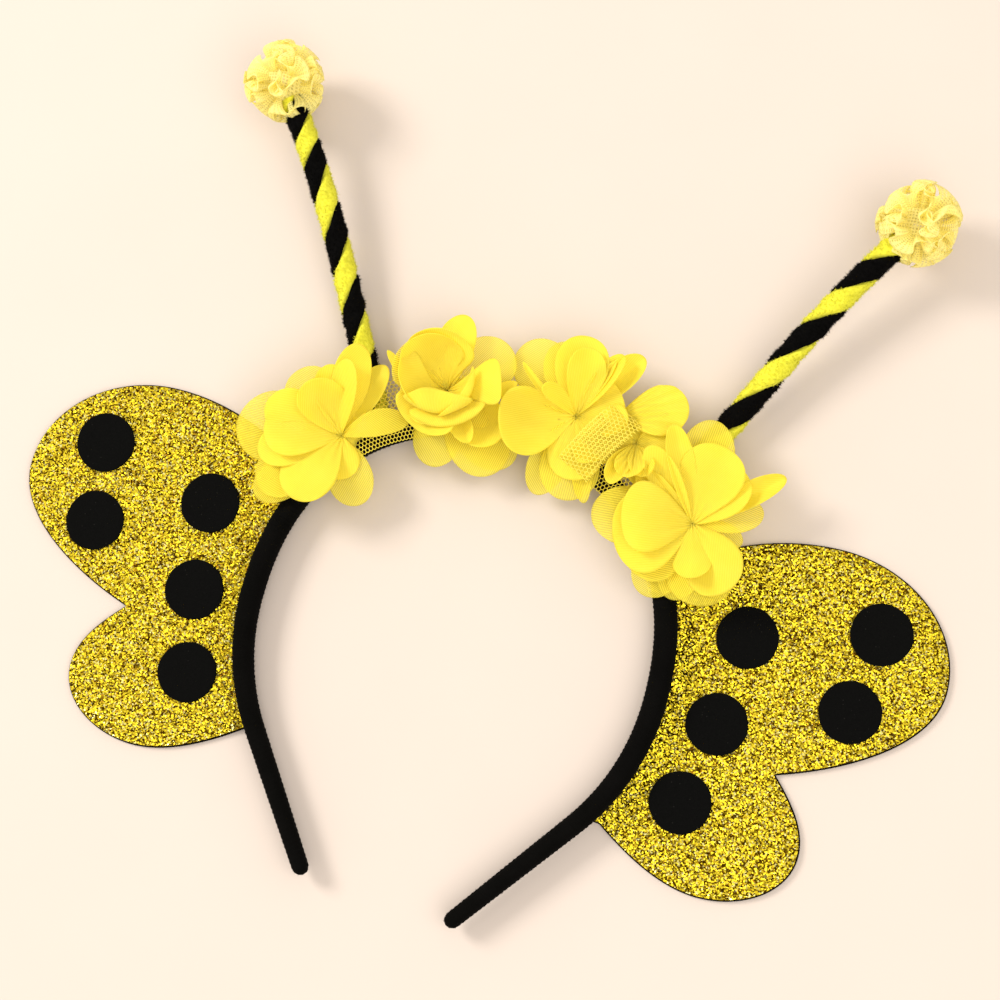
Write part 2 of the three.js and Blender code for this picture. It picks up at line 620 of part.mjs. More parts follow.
[{ name: 'left', side: -1 }, { name: 'right', side: 1 }].forEach(({ name, side }) => {
  addPiece(`${name}_wing_felt`, wingPlate(side, 0, FELT_THICK, 0), FELT);
  addPiece(`${name}_wing_glitter`, wingPlate(side, FELT_RIM, GLITTER_THICK, GLITTER_Z), GLITTER);
  WING_DOTS.forEach((share, i) => addPiece(`${name}_dot_${i + 1}`, dotBody(share, side), FELT));
});

const antennaClears = ANTENNAE.map(antennaClear);
ANTENNAE.forEach((antenna, i) => {
  const yellow = mainBody(wireSolid(antenna, 0, bandClear));
  const black = mainBody(wireSolid(antenna, 180, bandClear));
  const pompom = mainBody(pompomSolid(antenna, antennaClears[i]));
  addPiece(`${antenna.side}_antenna_yellow`, toGeometry(yellow), CHENILLE_YELLOW);
  addPiece(`${antenna.side}_antenna_black`, toGeometry(black), CHENILLE_BLACK);
  addPiece(`${antenna.side}_pompom`, toGeometry(pompom), TULLE);
});

addPiece('net_tape', tapeBody(), NET);

// Each flower is trimmed clear of what carries it and of the flowers that were laid before it.
let taken = [bandClear, toSolid(tapeBody(GAP * 0.9)), ...antennaClears].reduce((a, b) => a.add(b));
LAYING_ORDER.forEach((name) => {
  const bodies = flowerBodies(FLOWERS.find((row) => row.name === name));
  const whole = joined(bodies);
  addPiece(name, toGeometry(mainBody(whole.subtract(taken))), CHIFFON);
  taken = taken.add(whole).add(joined(bodies.map((body) => standOff(body, GAP))));
});

// The origin is the middle of the whole part's box, on the surface that it lies on.
const box = new THREE.Box3().setFromObject(assembly);
const middle = box.getCenter(new THREE.Vector3());
assembly.position.set(-middle.x, -middle.y, -box.min.z);

const headband = new THREE.Group();
headband.add(assembly);

export default headband;
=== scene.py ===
# %% [markdown]
# # A bee antenna headband, dressed in Blender
#
# The object is a costume headband lying on its back: a hoop padded and wrapped in black velvet, two
# wings of gold glitter sheet on black felt with round felt spots, five gathered chiffon flowers on
# a net tape, and two antennae twisted from pipe cleaners that end in tulle pompoms. Every piece
# below is a surface worked out with numpy, laid where the solid model says it is. Sizes are in
# millimetres until the very last step, which turns them to metres.

import bpy
import numpy as np
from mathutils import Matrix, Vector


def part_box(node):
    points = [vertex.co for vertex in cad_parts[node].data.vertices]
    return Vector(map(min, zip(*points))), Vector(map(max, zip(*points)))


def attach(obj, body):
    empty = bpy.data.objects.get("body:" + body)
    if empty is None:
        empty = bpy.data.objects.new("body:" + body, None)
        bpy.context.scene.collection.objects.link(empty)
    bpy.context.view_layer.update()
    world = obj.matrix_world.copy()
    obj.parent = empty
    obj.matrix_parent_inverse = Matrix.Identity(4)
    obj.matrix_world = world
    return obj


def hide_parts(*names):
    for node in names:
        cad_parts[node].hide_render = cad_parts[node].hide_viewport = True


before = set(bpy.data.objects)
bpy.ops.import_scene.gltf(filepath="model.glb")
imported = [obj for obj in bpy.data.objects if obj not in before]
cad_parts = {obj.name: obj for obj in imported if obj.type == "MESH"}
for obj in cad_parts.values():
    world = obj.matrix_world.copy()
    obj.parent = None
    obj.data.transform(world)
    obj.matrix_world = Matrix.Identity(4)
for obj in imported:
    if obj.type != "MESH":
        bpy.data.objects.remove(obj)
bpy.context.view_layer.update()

print("nodes in the frame:", len(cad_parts))

# %% [markdown]
# ## One place for all sizes
#
# The solid model was drawn with x = 0 on the mirror line and y = 0 at the notch of the wings, and
# then moved so that its box is centred. The top of the band tells how far, so that the same simple
# coordinates can be used here.

# %% Drawing coordinates
MM = 0.001
BAND_HALF_WIDTH = 68.5
BAND_WIDEST_Y = -4.5
CROWN_RISE = 72
CROWN_POWER = 2.2
BAND_THICK = 7.6
BAND_DEEP = 9
GAP = 0.3

# Each random draw starts from one of these, so every run gives the same result.
SEEDS = {"band": 11, "glitter": 21, "spots": 31, "chenille": 41, "petals": 60, "pompoms": 80}

band_top = BAND_WIDEST_Y + CROWN_RISE + BAND_THICK / 2
SHIFT = np.array([0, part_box("band")[1].y / MM - band_top, 0])


def on_crown(angle, out=0.0):
    """Point of the crown at a clock angle, in degrees from the right arm.

    The crown is half of a superellipse: x is the half width times cos to the power 2/p, y the rise
    times sin to the same power. The point is then moved out along the curve's normal.
    """
    turn = np.radians(angle)
    cosine, sine = np.cos(turn), np.clip(np.sin(turn), 0, None)
    power = 2 / CROWN_POWER
    x = BAND_HALF_WIDTH * np.sign(cosine) * np.abs(cosine) ** power
    y = BAND_WIDEST_Y + CROWN_RISE * sine**power
    nx = np.sign(cosine) * np.abs(cosine) ** (2 - power) / BAND_HALF_WIDTH
    ny = sine ** (2 - power) / CROWN_RISE
    size = np.hypot(nx, ny)
    return np.stack([x + out * nx / size, y + out * ny / size], -1)


print("shift of the drawing, mm:", SHIFT.round(2), "crown top:", on_crown(90).round(2))

# %% [markdown]
# ## From arrays to a mesh
#
# A surface is a grid of points, and a closed body is a tube of rows with a pole at each end.
# Blender takes whole arrays through foreach_set, which is far quicker than adding vertices one by
# one. A closed shell whose faces point inwards has a negative volume, so that is how they are put
# right.


# %% Mesh helpers
def grid_faces(rows, columns):
    """Quads of an open grid of rows x columns points."""
    i, j = np.meshgrid(np.arange(rows - 1), np.arange(columns - 1), indexing="ij")
    corner = i * columns + j
    quads = np.stack([corner, corner + 1, corner + columns + 1, corner + columns], -1)
    return quads.reshape(-1, 4)


def tube_faces(rows, sides):
    """Quads round a tube of rows x sides points, and a fan to the pole at each end.

    The two poles are the two points after the tube's own.
    """
    i, j = np.meshgrid(np.arange(rows - 1), np.arange(sides), indexing="ij")
    k = (j + 1) % sides
    quads = np.stack([i * sides + j, i * sides + k, (i + 1) * sides + k, (i + 1) * sides + j], -1)
    j = np.arange(sides)
    k = (j + 1) % sides
    last = (rows - 1) * sides
    near = np.stack([k, j, np.full(sides, rows * sides)], -1)
    far = np.stack([last + j, last + k, np.full(sides, rows * sides + 1)], -1)
    return [quads.reshape(-1, 4), np.concatenate([near, far])]


def pointing_out(points, faces):
    """The faces turned round if the volume between them and the origin comes out negative."""
    volume = 0.0
    for group in faces:
        a = points[group[:, 0]]
        for k in range(1, group.shape[1] - 1):
            b, c = points[group[:, k]], points[group[:, k + 1]]
            volume += np.einsum("ij,ij->", a, np.cross(b, c)) / 6
    return faces if volume > 0 else [group[:, ::-1] for group in faces]


def tube(rings, start, end):
    """A closed body from rows of rings, shape rows x sides x 3, and its two poles."""
    points = np.concatenate([rings.reshape(-1, 3), [start, end]])
    return points, pointing_out(points, tube_faces(*rings.shape[:2]))


def joined(parts):
    """Several (points, faces) bodies as one, with their point numbers moved up."""
    points, faces, start = [], [], 0
    for part_points, part_faces in parts:
        points.append(part_points)
        faces += [group + start for group in part_faces]
        start += len(part_points)
    return np.concatenate(points), faces


def new_piece(name, body, material, replaced=(), values=None, cloth=None):
    """Makes the object: points in drawing millimetres, faces as arrays of point numbers.

    values are numbers per point by attribute name, and cloth a UV map that holds the place on the
    cloth in centimetres.
    """
    points, faces = body
    mesh = bpy.data.meshes.new(name)
    loops = np.concatenate([group.ravel() for group in faces])
    sizes = np.concatenate([np.full(len(group), group.shape[1]) for group in faces])
    mesh.vertices.add(len(points))
    mesh.vertices.foreach_set("co", ((points + SHIFT) * MM).ravel())
    mesh.loops.add(len(loops))
    mesh.loops.foreach_set("vertex_index", loops)
    mesh.polygons.add(len(sizes))
    mesh.polygons.foreach_set("loop_start", np.cumsum(sizes) - sizes)
    mesh.update(calc_edges=True)
    mesh.validate()
    mesh.shade_smooth()
    for key, numbers in (values or {}).items():
        mesh.attributes.new(key, "FLOAT", "POINT").data.foreach_set("value", numbers)
    if cloth is not None:
        layer = mesh.uv_layers.new(name="Cloth")
        layer.data.foreach_set("uv", cloth[loops].ravel())
    mesh.materials.append(material)
    piece = bpy.data.objects.new(name, mesh)
    bpy.context.scene.collection.objects.link(piece)
    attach(piece, "root")
    if replaced:
        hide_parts(*replaced)
    triangles = int((sizes - 2).sum())
    print(f"{name}: {len(points)} points, {triangles} triangles")
    return piece


def unit(vectors):
    """Vectors scaled to length 1."""
    return vectors / np.linalg.norm(vectors, axis=-1, keepdims=True)


def spikes(roots, directions, lengths, width, rng):
    """Fibres: each is a slim closed pyramid on a triangle, drawn to one tip.

    The triangle's corners stand round the root at thirds of a turn, across the direction. Returns
    the body and a number per point, 0 at the roots and 1 at the tips.
    """
    side = unit(np.cross(directions, rng.normal(size=directions.shape)))
    other = np.cross(directions, side)
    corners = [
        roots + width / 2 * (np.cos(turn) * side + np.sin(turn) * other)
        for turn in np.radians([0, 120, 240])
    ]
    tips = roots + directions * lengths[:, None]
    a, b, c, tip = (np.arange(len(roots)) + k * len(roots) for k in range(4))
    faces = [np.stack(corner, -1) for corner in ((a, b, tip), (b, c, tip), (c, a, tip), (c, b, a))]
    share = np.repeat([0.0, 0.0, 0.0, 1.0], len(roots))
    return (np.concatenate([*corners, tips]), [np.concatenate(faces)]), share


# %% [markdown]
# ## Helpers for the finishes
#
# A colour is given as an sRGB hex value, but shaders work with linear light, so one
# function turns it. Another adds any shader node: its settings are its own properties, and each
# input is either a plain value or the output of another node.


# %% Colour and node helpers
def linear(hex_colour):
    """sRGB hex to linear colour: the low end is a straight line, the rest a curve of power 2.4."""
    srgb = np.array([int(hex_colour[k : k + 2], 16) for k in (1, 3, 5)]) / 255
    curve = ((srgb + 0.055) / 1.055) ** 2.4
    return (*np.where(srgb <= 0.04045, srgb / 12.92, curve), 1.0)


def add_node(material, kind, inputs, **settings):
    """Adds one shader node with its settings, and gives its inputs their values or links."""
    tree = material.node_tree
    node = tree.nodes.new("ShaderNode" + kind)
    for name, value in settings.items():
        setattr(node, name, value)
    for name, value in inputs.items():
        if isinstance(value, bpy.types.NodeSocket):
            tree.links.new(value, node.inputs[name])
        else:
            node.inputs[name].default_value = value
    return node


def new_material(name):
    """An empty material, and the place on the object that its patterns are laid by."""
    material = bpy.data.materials.new(name)
    material.use_nodes = True
    material.node_tree.nodes.clear()
    return material, add_node(material, "TexCoord", {}).outputs["Object"]


def per_metre(size):
    """Scale of a noise or cell pattern whose grains are size millimetres wide."""
    return 1 / (size * MM)


# Blend node sockets: the colours A and B go in at 6 and 7, and the mixed colour comes out at 2.
COLOUR_A, COLOUR_B, COLOUR_OUT = 6, 7, 2

# %% [markdown]
# ## Floor, light and camera
#
# The headband lies on plain cream paper. A soft light from the left gives the soft shadows that
# fall to the right. A larger, weaker one from the other side and an even pale world fill them. The
# camera looks down on the front, a little from the lower right, through a long lens.

# %% Studio
scene = bpy.context.scene
scene.view_settings.view_transform = "Standard"

CAMERA_PLACE = (121.1, -39.4, 709.5)
CAMERA_TURN = (8.987, 7.457, 14.920)

camera_data = bpy.data.cameras.new("Camera")
camera_data.lens = 79.2
camera_data.sensor_width = 36
camera = bpy.data.objects.new("Camera", camera_data)
camera.location = (np.array(CAMERA_PLACE) + SHIFT) * MM
camera.rotation_euler = np.radians(CAMERA_TURN)
scene.collection.objects.link(camera)
scene.camera = camera


def soft_light(name, place, size, watts, colour):
    """A square lamp at a place in metres, aimed at the middle of the object."""
    data = bpy.data.lights.new(name, "AREA")
    data.shape = "SQUARE"
    data.size = size
    data.energy = watts
    data.color = linear(colour)[:3]
    lamp = bpy.data.objects.new(name, data)
    lamp.location = place
    aim = -lamp.location
    lamp.rotation_euler = aim.to_track_quat("-Z", "Y").to_euler()
    scene.collection.objects.link(lamp)


# Name, place, width, power in watts and colour.
soft_light("Window", (-1.35, 0.35, 1.25), 0.6, 25, "#FFFBF5")
soft_light("Ceiling", (0.65, -0.3, 1.35), 1.3, 14, "#FFFCF8")

world = bpy.data.worlds.new("Studio air")
world.use_nodes = True
air = world.node_tree.nodes["Background"].inputs
air["Color"].default_value = linear("#FFF9F0")
air["Strength"].default_value = 0.84
scene.world = world

# Cream paper, matt, with the faintest cloudiness.
paper, place = new_material("Cream paper")
cloud = add_node(paper, "TexNoise", {"Vector": place, "Scale": per_metre(60), "Detail": 3.0})
tint = add_node(
    paper,
    "Mix",
    {"Factor": cloud.outputs["Fac"], COLOUR_A: linear("#CDC0B6"), COLOUR_B: linear("#D1C4BA")},
    data_type="RGBA",
)
paper_shader = add_node(
    paper, "BsdfPrincipled", {"Base Color": tint.outputs[COLOUR_OUT], "Roughness": 0.95}
)
add_node(paper, "OutputMaterial", {"Surface": paper_shader.outputs[0]})

FLOOR_SIZE = 3.0
corner = FLOOR_SIZE / 2
floor_mesh = bpy.data.meshes.new("floor")
floor_mesh.from_pydata(
    [(-corner, -corner, 0), (corner, -corner, 0), (corner, corner, 0), (-corner, corner, 0)],
    [],
    [(0, 1, 2, 3)],
)
floor_mesh.materials.append(paper)
floor = bpy.data.objects.new("floor", floor_mesh)
scene.collection.objects.link(floor)
print("camera at", [round(v, 3) for v in camera.location])

# %% [markdown]
# ## Black velvet
#
# The hoop is wrapped in stretch velvet: a knitted ground with a dense upright pile of polyester.
# The pile swallows light seen from its front and shines a little at grazing angles, which the sheen
# layer of the shader gives. Fine noise breaks it up like brushed pile.

# %% Velvet and felt
velvet, place = new_material("Black stretch velvet")
pile = add_node(velvet, "TexNoise", {"Vector": place, "Scale": per_metre(0.5), "Detail": 4.0})
brushed = add_node(velvet, "TexNoise", {"Vector": place, "Scale": per_metre(9), "Detail": 2.0})
shade = add_node(
    velvet,
    "Mix",
    {"Factor": brushed.outputs["Fac"], COLOUR_A: linear("#050504"), COLOUR_B: linear("#0C0B0A")},
    data_type="RGBA",
)
bump = add_node(
    velvet, "Bump", {"Height": pile.outputs["Fac"], "Strength": 0.6, "Distance": 0.25 * MM}
)
velvet_shader = add_node(
    velvet,
    "BsdfPrincipled",
    {
        "Base Color": shade.outputs[COLOUR_OUT],
        "Roughness": 1.0,
        "Specular IOR Level": 0.03,
        "Sheen Weight": 0.04,
        "Sheen Roughness": 0.4,
        "Sheen Tint": linear("#8E8A88"),
        "Normal": bump.outputs[0],
    },
)
add_node(velvet, "OutputMaterial", {"Surface": velvet_shader.outputs[0]})

# Needled acrylic felt: a mat of short crimped fibres, matt black, with a few pale specks of lint.
felt, place = new_material("Black needled felt")
fibre = add_node(
    felt, "TexNoise", {"Vector": place, "Scale": per_metre(0.7), "Detail": 5.0, "Distortion": 1.5}
)
lint = add_node(felt, "TexVoronoi", {"Vector": place, "Scale": per_metre(2.4)})
speck = add_node(
    felt,
    "MapRange",
    {
        "Value": lint.outputs["Distance"],
        "From Min": 0.05,
        "From Max": 0.09,
        "To Min": 1,
        "To Max": 0,
    },
)
ground = add_node(
    felt,
    "Mix",
    {"Factor": fibre.outputs["Fac"], COLOUR_A: linear("#050505"), COLOUR_B: linear("#0E0E0D")},
    data_type="RGBA",
)
with_lint = add_node(
    felt,
    "Mix",
    {
        "Factor": speck.outputs["Result"],
        COLOUR_A: ground.outputs[COLOUR_OUT],
        COLOUR_B: linear("#1E1D1B"),
    },
    data_type="RGBA",
)
bump = add_node(
    felt, "Bump", {"Height": fibre.outputs["Fac"], "Strength": 0.7, "Distance": 0.2 * MM}
)
felt_shader = add_node(
    felt,
    "BsdfPrincipled",
    {
        "Base Color": with_lint.outputs[COLOUR_OUT],
        "Roughness": 1.0,
        "Specular IOR Level": 0.03,
        "Sheen Weight": 0.03,
        "Sheen Tint": linear("#77736F"),
        "Normal": bump.outputs[0],
    },
)
add_node(felt, "OutputMaterial", {"Surface": felt_shader.outputs[0]})
print("materials:", velvet.name, "and", felt.name)

# %% [markdown]
# ## The band
#
# A springy plastic strip, padded and wrapped. One could extrude a curve, but a swept grid lets the
# wrapped ribbon show as slanting ribs and lets the tips close as rounds. The centre line is the
# crown's superellipse with an arc and a straight below it on each side, then set at even steps.

# %% Band centre line
CHEEK_RADIUS = 75
ARM_LENGTH = 50
LEFT_ARM = {"turn": 34.5, "straight": 0.99, "side": -1}
RIGHT_ARM = {"turn": 37.5, "straight": 1.03, "side": 1}
FELT_THICK = 1.2
GLITTER_THICK = 0.6
WING_FRONT = FELT_THICK + GAP + GLITTER_THICK
BAND_Z = WING_FRONT + GAP + BAND_DEEP / 2


def arm_line(turn, straight, side):
    """From the widest level down: an arc that turns inwards, then a straight."""
    bend = np.radians(np.linspace(0, turn, 90))[1:]
    x = side * (BAND_HALF_WIDTH - CHEEK_RADIUS * (1 - np.cos(bend)))
    arc = np.stack([x, BAND_WIDEST_Y - CHEEK_RADIUS * np.sin(bend)], -1)
    heading = np.array([-side * np.sin(bend[-1]), -np.cos(bend[-1])])
    run = np.linspace(0, straight * ARM_LENGTH, 60)[1:, None]
    return np.concatenate([arc, arc[-1] + run * heading])


def evenly(points, count):
    """The same line with count points at equal distances, and those distances."""
    steps = np.linalg.norm(np.diff(points, axis=0), axis=1)
    along = np.concatenate([[0], np.cumsum(steps)])
    at = np.linspace(0, along[-1], count)
    return np.stack([np.interp(at, along, points[:, k]) for k in range(points.shape[1])], -1), at


left_arm, right_arm = arm_line(**LEFT_ARM), arm_line(**RIGHT_ARM)
crown = on_crown(np.linspace(180, 0, 500))
whole_line = np.concatenate([left_arm[::-1], crown, right_arm])
BAND_ROWS = 900
centre_line, band_at = evenly(whole_line, BAND_ROWS)
print("band length, mm:", band_at[-1].round(1))

# %% Band surface
TIP_THICK, TIP_DEEP = 5.4, 7
TIP_ROUND = 3.2
TAPER_LENGTH = 95
RIB_PITCH = 1.7
RIB_HEIGHT = 0.09
BAND_SIDES = 32
UP = np.array([0.0, 0.0, 1.0])


def band_surface():
    """Rings of the band: an oval whose half sizes grow from the tips, with slanting ribs.

    A ring's point is the centre plus across times wide times cos, plus up times deep times sin.
    Near a tip the sizes shrink as a quarter circle does. The ribs add a sine of the distance along
    and the turn round.
    """
    heading = unit(np.gradient(centre_line, axis=0))
    across = np.stack([-heading[:, 1], heading[:, 0], np.zeros(BAND_ROWS)], -1)
    from_tip = np.minimum(band_at, band_at[-1] - band_at)
    taper = np.clip(from_tip / TAPER_LENGTH, 0, 1)
    near_tip = np.clip(1 - from_tip / TIP_ROUND, 0, 0.999)
    rounding = np.sqrt(1 - near_tip**2)
    wide = (TIP_THICK + (BAND_THICK - TIP_THICK) * taper) / 2 * rounding
    deep = (TIP_DEEP + (BAND_DEEP - TIP_DEEP) * taper) / 2 * rounding
    turn = np.linspace(0, 2 * np.pi, BAND_SIDES, endpoint=False)[None, :]
    rib = RIB_HEIGHT * np.sin(2 * np.pi * band_at[:, None] / RIB_PITCH + 1.5 * np.cos(turn))
    middle = np.concatenate([centre_line, np.full((BAND_ROWS, 1), BAND_Z)], -1)
    grow = rounding[:, None] * rib
    aside = ((wide[:, None] + grow) * np.cos(turn))[..., None] * across[:, None]
    lift = ((deep[:, None] + grow) * np.sin(turn))[..., None] * UP
    outwards = unit(
        (np.cos(turn) * np.ones_like(grow))[..., None] * across[:, None]
        + (np.sin(turn) * np.ones_like(grow))[..., None] * UP
    )
    return middle[:, None] + aside + lift, middle, outwards


FUZZ_COUNT = 13000
FUZZ_LENGTH = (0.2, 0.6)
FUZZ_WIDTH = 0.1
FUZZ_LEAN = 0.7
rng = np.random.default_rng(SEEDS["band"])
rings, middle, outwards = band_surface()
band_body = tube(rings, middle[0], middle[-1])
row = rng.integers(1, BAND_ROWS - 1, FUZZ_COUNT)
column = rng.integers(0, BAND_SIDES, FUZZ_COUNT)
lean = unit(outwards[row, column] + FUZZ_LEAN * rng.normal(size=(FUZZ_COUNT, 3)))
lengths = rng.uniform(*FUZZ_LENGTH, FUZZ_COUNT)
fuzz, _ = spikes(rings[row, column], lean, lengths, FUZZ_WIDTH, rng)
new_piece("velvet_band", joined([band_body, fuzz]), velvet, ["band"])

# %% [markdown]
# ## Felt and glitter sheet of the wings
#
# Each wing is cut from craft felt with a sheet of glitter film glued on its front. The outline is
# six cubic curves, mirrored for the left wing, closed behind the band. A flat plate could be filled
# by Blender, but rings shrunk towards a middle give even rows that can carry a rounded rim.

# %% Wing outline
WING_SPAN = 84.5
WING_HEIGHT = 118.8
WING_DROP = 10.9
WING_TOP_ANGLE = 31
WING_TUCK = 0.5
WING_MIDDLE = (0.15, 0.6)

# Control points as shares of the span and the height: ax, ay, bx, by, x, y.
WING_CURVES = np.array([
    (0.02, 0.066, 0.27, 0, 0.494, 0),
    (0.766, 0, 1, 0.131, 1, 0.304),
    (1, 0.451, 0.73, 0.569, 0.456, 0.633),
    (0.541, 0.695, 0.61, 0.754, 0.61, 0.826),
    (0.61, 0.927, 0.452, 1, 0.28, 1),
    (0.127, 1, -0.027, 0.935, -0.146, 0.876),
]).reshape(-1, 3, 2)


def on_wing(share):
    """Place on the right wing from shares of its span and height."""
    share = np.asarray(share)
    x = BAND_HALF_WIDTH + BAND_THICK / 2 + share[..., 0] * WING_SPAN
    y = BAND_WIDEST_Y + CROWN_RISE - WING_DROP - share[..., 1] * WING_HEIGHT
    return np.stack([x, y], -1)


def bezier(start, a, b, end, count):
    """Cubic curve: four points weighted by the Bernstein polynomials of t."""
    t = np.linspace(0, 1, count)[:, None]
    return (1 - t) ** 3 * start + 3 * (1 - t) ** 2 * t * a + 3 * (1 - t) * t**2 * b + t**3 * end


def wing_outline(arm, side, count):
    """Closed outline of a wing as count even points."""
    here = on_crown(WING_TOP_ANGLE, WING_TUCK)
    outline = []
    for a, b, end in on_wing(WING_CURVES):
        outline.append(bezier(here, a, b, end, 80)[:-1])
        here = end
    mirrored = arm * [side, 1]
    foot = np.array([np.interp(-here[1], -mirrored[:, 1], mirrored[:, 0]), here[1]])
    behind = mirrored[mirrored[:, 1] > foot[1]][::-1]
    top = on_crown(np.linspace(0, WING_TOP_ANGLE, 40))
    hidden = np.concatenate([[foot], behind, top]) - [WING_TUCK, 0]
    ring = np.concatenate([*outline, hidden])
    even = evenly(np.concatenate([ring, ring[:1]]), count + 1)[0][:-1]
    return even * [side, 1]


def outward_normals(outline):
    """Normals of a closed outline: each point's neighbours give its heading."""
    heading = np.roll(outline, -1, 0) - np.roll(outline, 1, 0)
    x, y = outline.T
    area = np.sum(x * np.roll(y, -1) - y * np.roll(x, -1))
    return unit(np.stack([heading[:, 1], -heading[:, 0]], -1)) * np.sign(area)


def plate(outline, middle, low, high, rim, rings):
    """Closed flat body: the outline shrunk to a middle on both faces, with a half-round rim.

    Rows on a face are the middle plus a share of the way to the outline. Rows of the rim stand out
    by rim times sin, and up and down by half of the thickness times cos.
    """
    normal = outward_normals(outline)
    inner = outline - rim * normal
    shares = np.linspace(0, 1, rings + 1)[1:]
    turns = np.linspace(0, np.pi, 7)[1:-1]
    flat = middle + (inner - middle) * shares[:, None, None]
    edge = inner + rim * normal * np.sin(turns)[:, None, None]
    half = (high - low) / 2
    rows = np.concatenate([flat, edge, flat[::-1]])
    levels = [np.full(rings, high), low + half + half * np.cos(turns), np.full(rings, low)]
    height = np.concatenate(levels)[:, None] * np.ones(len(outline))
    points = np.concatenate([rows, height[..., None]], -1)
    return tube(points, (*middle, high), (*middle, low))


OUTLINE_POINTS = 560
outlines = {
    "left": wing_outline(left_arm, -1, OUTLINE_POINTS),
    "right": wing_outline(right_arm, 1, OUTLINE_POINTS),
}
print("wing width, mm:", np.ptp(outlines["right"][:, 0]).round(1))

# %% [markdown]
# ## Glitter film
#
# Glitter sheet is vinyl film dusted with hexagonal flakes of metallised polyester, about 0.4 mm
# wide. Each flake lies at its own small tilt, so beside a bright one lies one that mirrors the
# dark. A cell pattern gives each flake its own tilt and its own colour, and the colour holds
# painted
# light: some flakes are painted dark brown as a painted reflection of the dark, a few near white as
# painted glints, the rest gold. The tilt is a random vector added to the surface normal. Real
# raised flakes are added on top for the strongest sparks.

# %% Glitter film
FLAKE_WIDTH = 0.46
glitter, place = new_material("Gold glitter film")
flakes = add_node(glitter, "TexVoronoi", {"Vector": place, "Scale": per_metre(FLAKE_WIDTH)})
lot = add_node(glitter, "SeparateColor", {"Color": flakes.outputs["Color"]})
# Painted reflection: flakes low in the cell's random number are painted dark brown, the rest gold.
painted_dark_or_gold = add_node(
    glitter, "MapRange", {"Value": lot.outputs["Red"], "From Min": 0.32, "From Max": 0.68}
)
gold_with_painted_dark = add_node(
    glitter,
    "Mix",
    {
        "Factor": painted_dark_or_gold.outputs["Result"],
        COLOUR_A: linear("#452C00"),
        COLOUR_B: linear("#EED42E"),
    },
    data_type="RGBA",
)
# Painted glints: a few flakes are painted near white.
painted_glint_share = add_node(
    glitter, "MapRange", {"Value": lot.outputs["Green"], "From Min": 0.87, "From Max": 0.97}
)
flake_colour_with_painted_light = add_node(
    glitter,
    "Mix",
    {
        "Factor": painted_glint_share.outputs["Result"],
        COLOUR_A: gold_with_painted_dark.outputs[COLOUR_OUT],
        COLOUR_B: linear("#FFF7A0"),
    },
    data_type="RGBA",
)
lopsided = add_node(
    glitter, "VectorMath", {0: flakes.outputs["Color"], 1: (0.5, 0.5, 0.5)}, operation="SUBTRACT"
)
tilt = add_node(glitter, "VectorMath", {0: lopsided.outputs[0], "Scale": 1.1}, operation="SCALE")
normal = add_node(glitter, "NewGeometry", {}).outputs["Normal"]
tilted = add_node(glitter, "VectorMath", {0: normal, 1: tilt.outputs[0]}, operation="ADD")
straight = add_node(glitter, "VectorMath", {0: tilted.outputs[0]}, operation="NORMALIZE")
glitter_shader = add_node(
    glitter,
    "BsdfPrincipled",
    {
        "Base Color": flake_colour_with_painted_light.outputs[COLOUR_OUT],
        "Metallic": 0.8,
        "Roughness": 0.3,
        "Specular Tint": linear("#FFE060"),
        "Normal": straight.outputs[0],
    },
)
add_node(glitter, "OutputMaterial", {"Surface": glitter_shader.outputs[0]})

FLAKES_PER_WING = 5200
FLAKE_REACH = (0.16, 0.34)
FLAKE_TILT = (0.03, 0.2)


def inside(points, outline):
    """Even-odd rule: inside is where a ray along +X crosses the outline an odd number of times."""
    x, y = points[:, :1], points[:, 1:]
    ax, ay = outline.T
    bx, by = np.roll(outline, -1, 0).T
    crosses = (ay > y) != (by > y)
    slope = (bx - ax) / np.where(by == ay, 1, by - ay)
    return (crosses & (x < ax + (y - ay) * slope)).sum(1) % 2 == 1


def raised_flakes(outline, count, top, rng):
    """Flakes that stand out of the film: four-sided slivers whose upper face is tilted.

    Each is a slim box: its lower corners lie just under the film, and its upper ones at the film's
    height plus a tilt that runs across the flake.
    """
    low, high = outline.min(0), outline.max(0)
    tries = rng.uniform(low, high, size=(4 * count, 2))
    inner = outline - 0.8 * outward_normals(outline)
    centres = tries[inside(tries, inner)][:count]
    size = rng.uniform(*FLAKE_REACH, len(centres))[:, None]
    turn = rng.uniform(0, 2 * np.pi, len(centres))[:, None] + np.pi / 2 * np.arange(4)
    x = centres[:, :1] + size * np.cos(turn)
    y = centres[:, 1:] + size * np.sin(turn)
    slope = rng.uniform(*FLAKE_TILT, len(centres))[:, None] * np.cos(turn - turn[:, :1])
    upper = np.stack([x, y, top + 0.04 + np.abs(slope).max(1)[:, None] / 2 + slope / 2], -1)
    lower = np.stack([x, y, np.full_like(x, top - 0.05)], -1)
    points = np.concatenate([lower, upper], 1).reshape(-1, 3)
    sides = [(k, (k + 1) % 4, (k + 1) % 4 + 4, k + 4) for k in range(4)]
    box = np.array([(4, 5, 6, 7), (3, 2, 1, 0), *sides])
    return points, [(8 * np.arange(len(centres))[:, None, None] + box).reshape(-1, 4)]


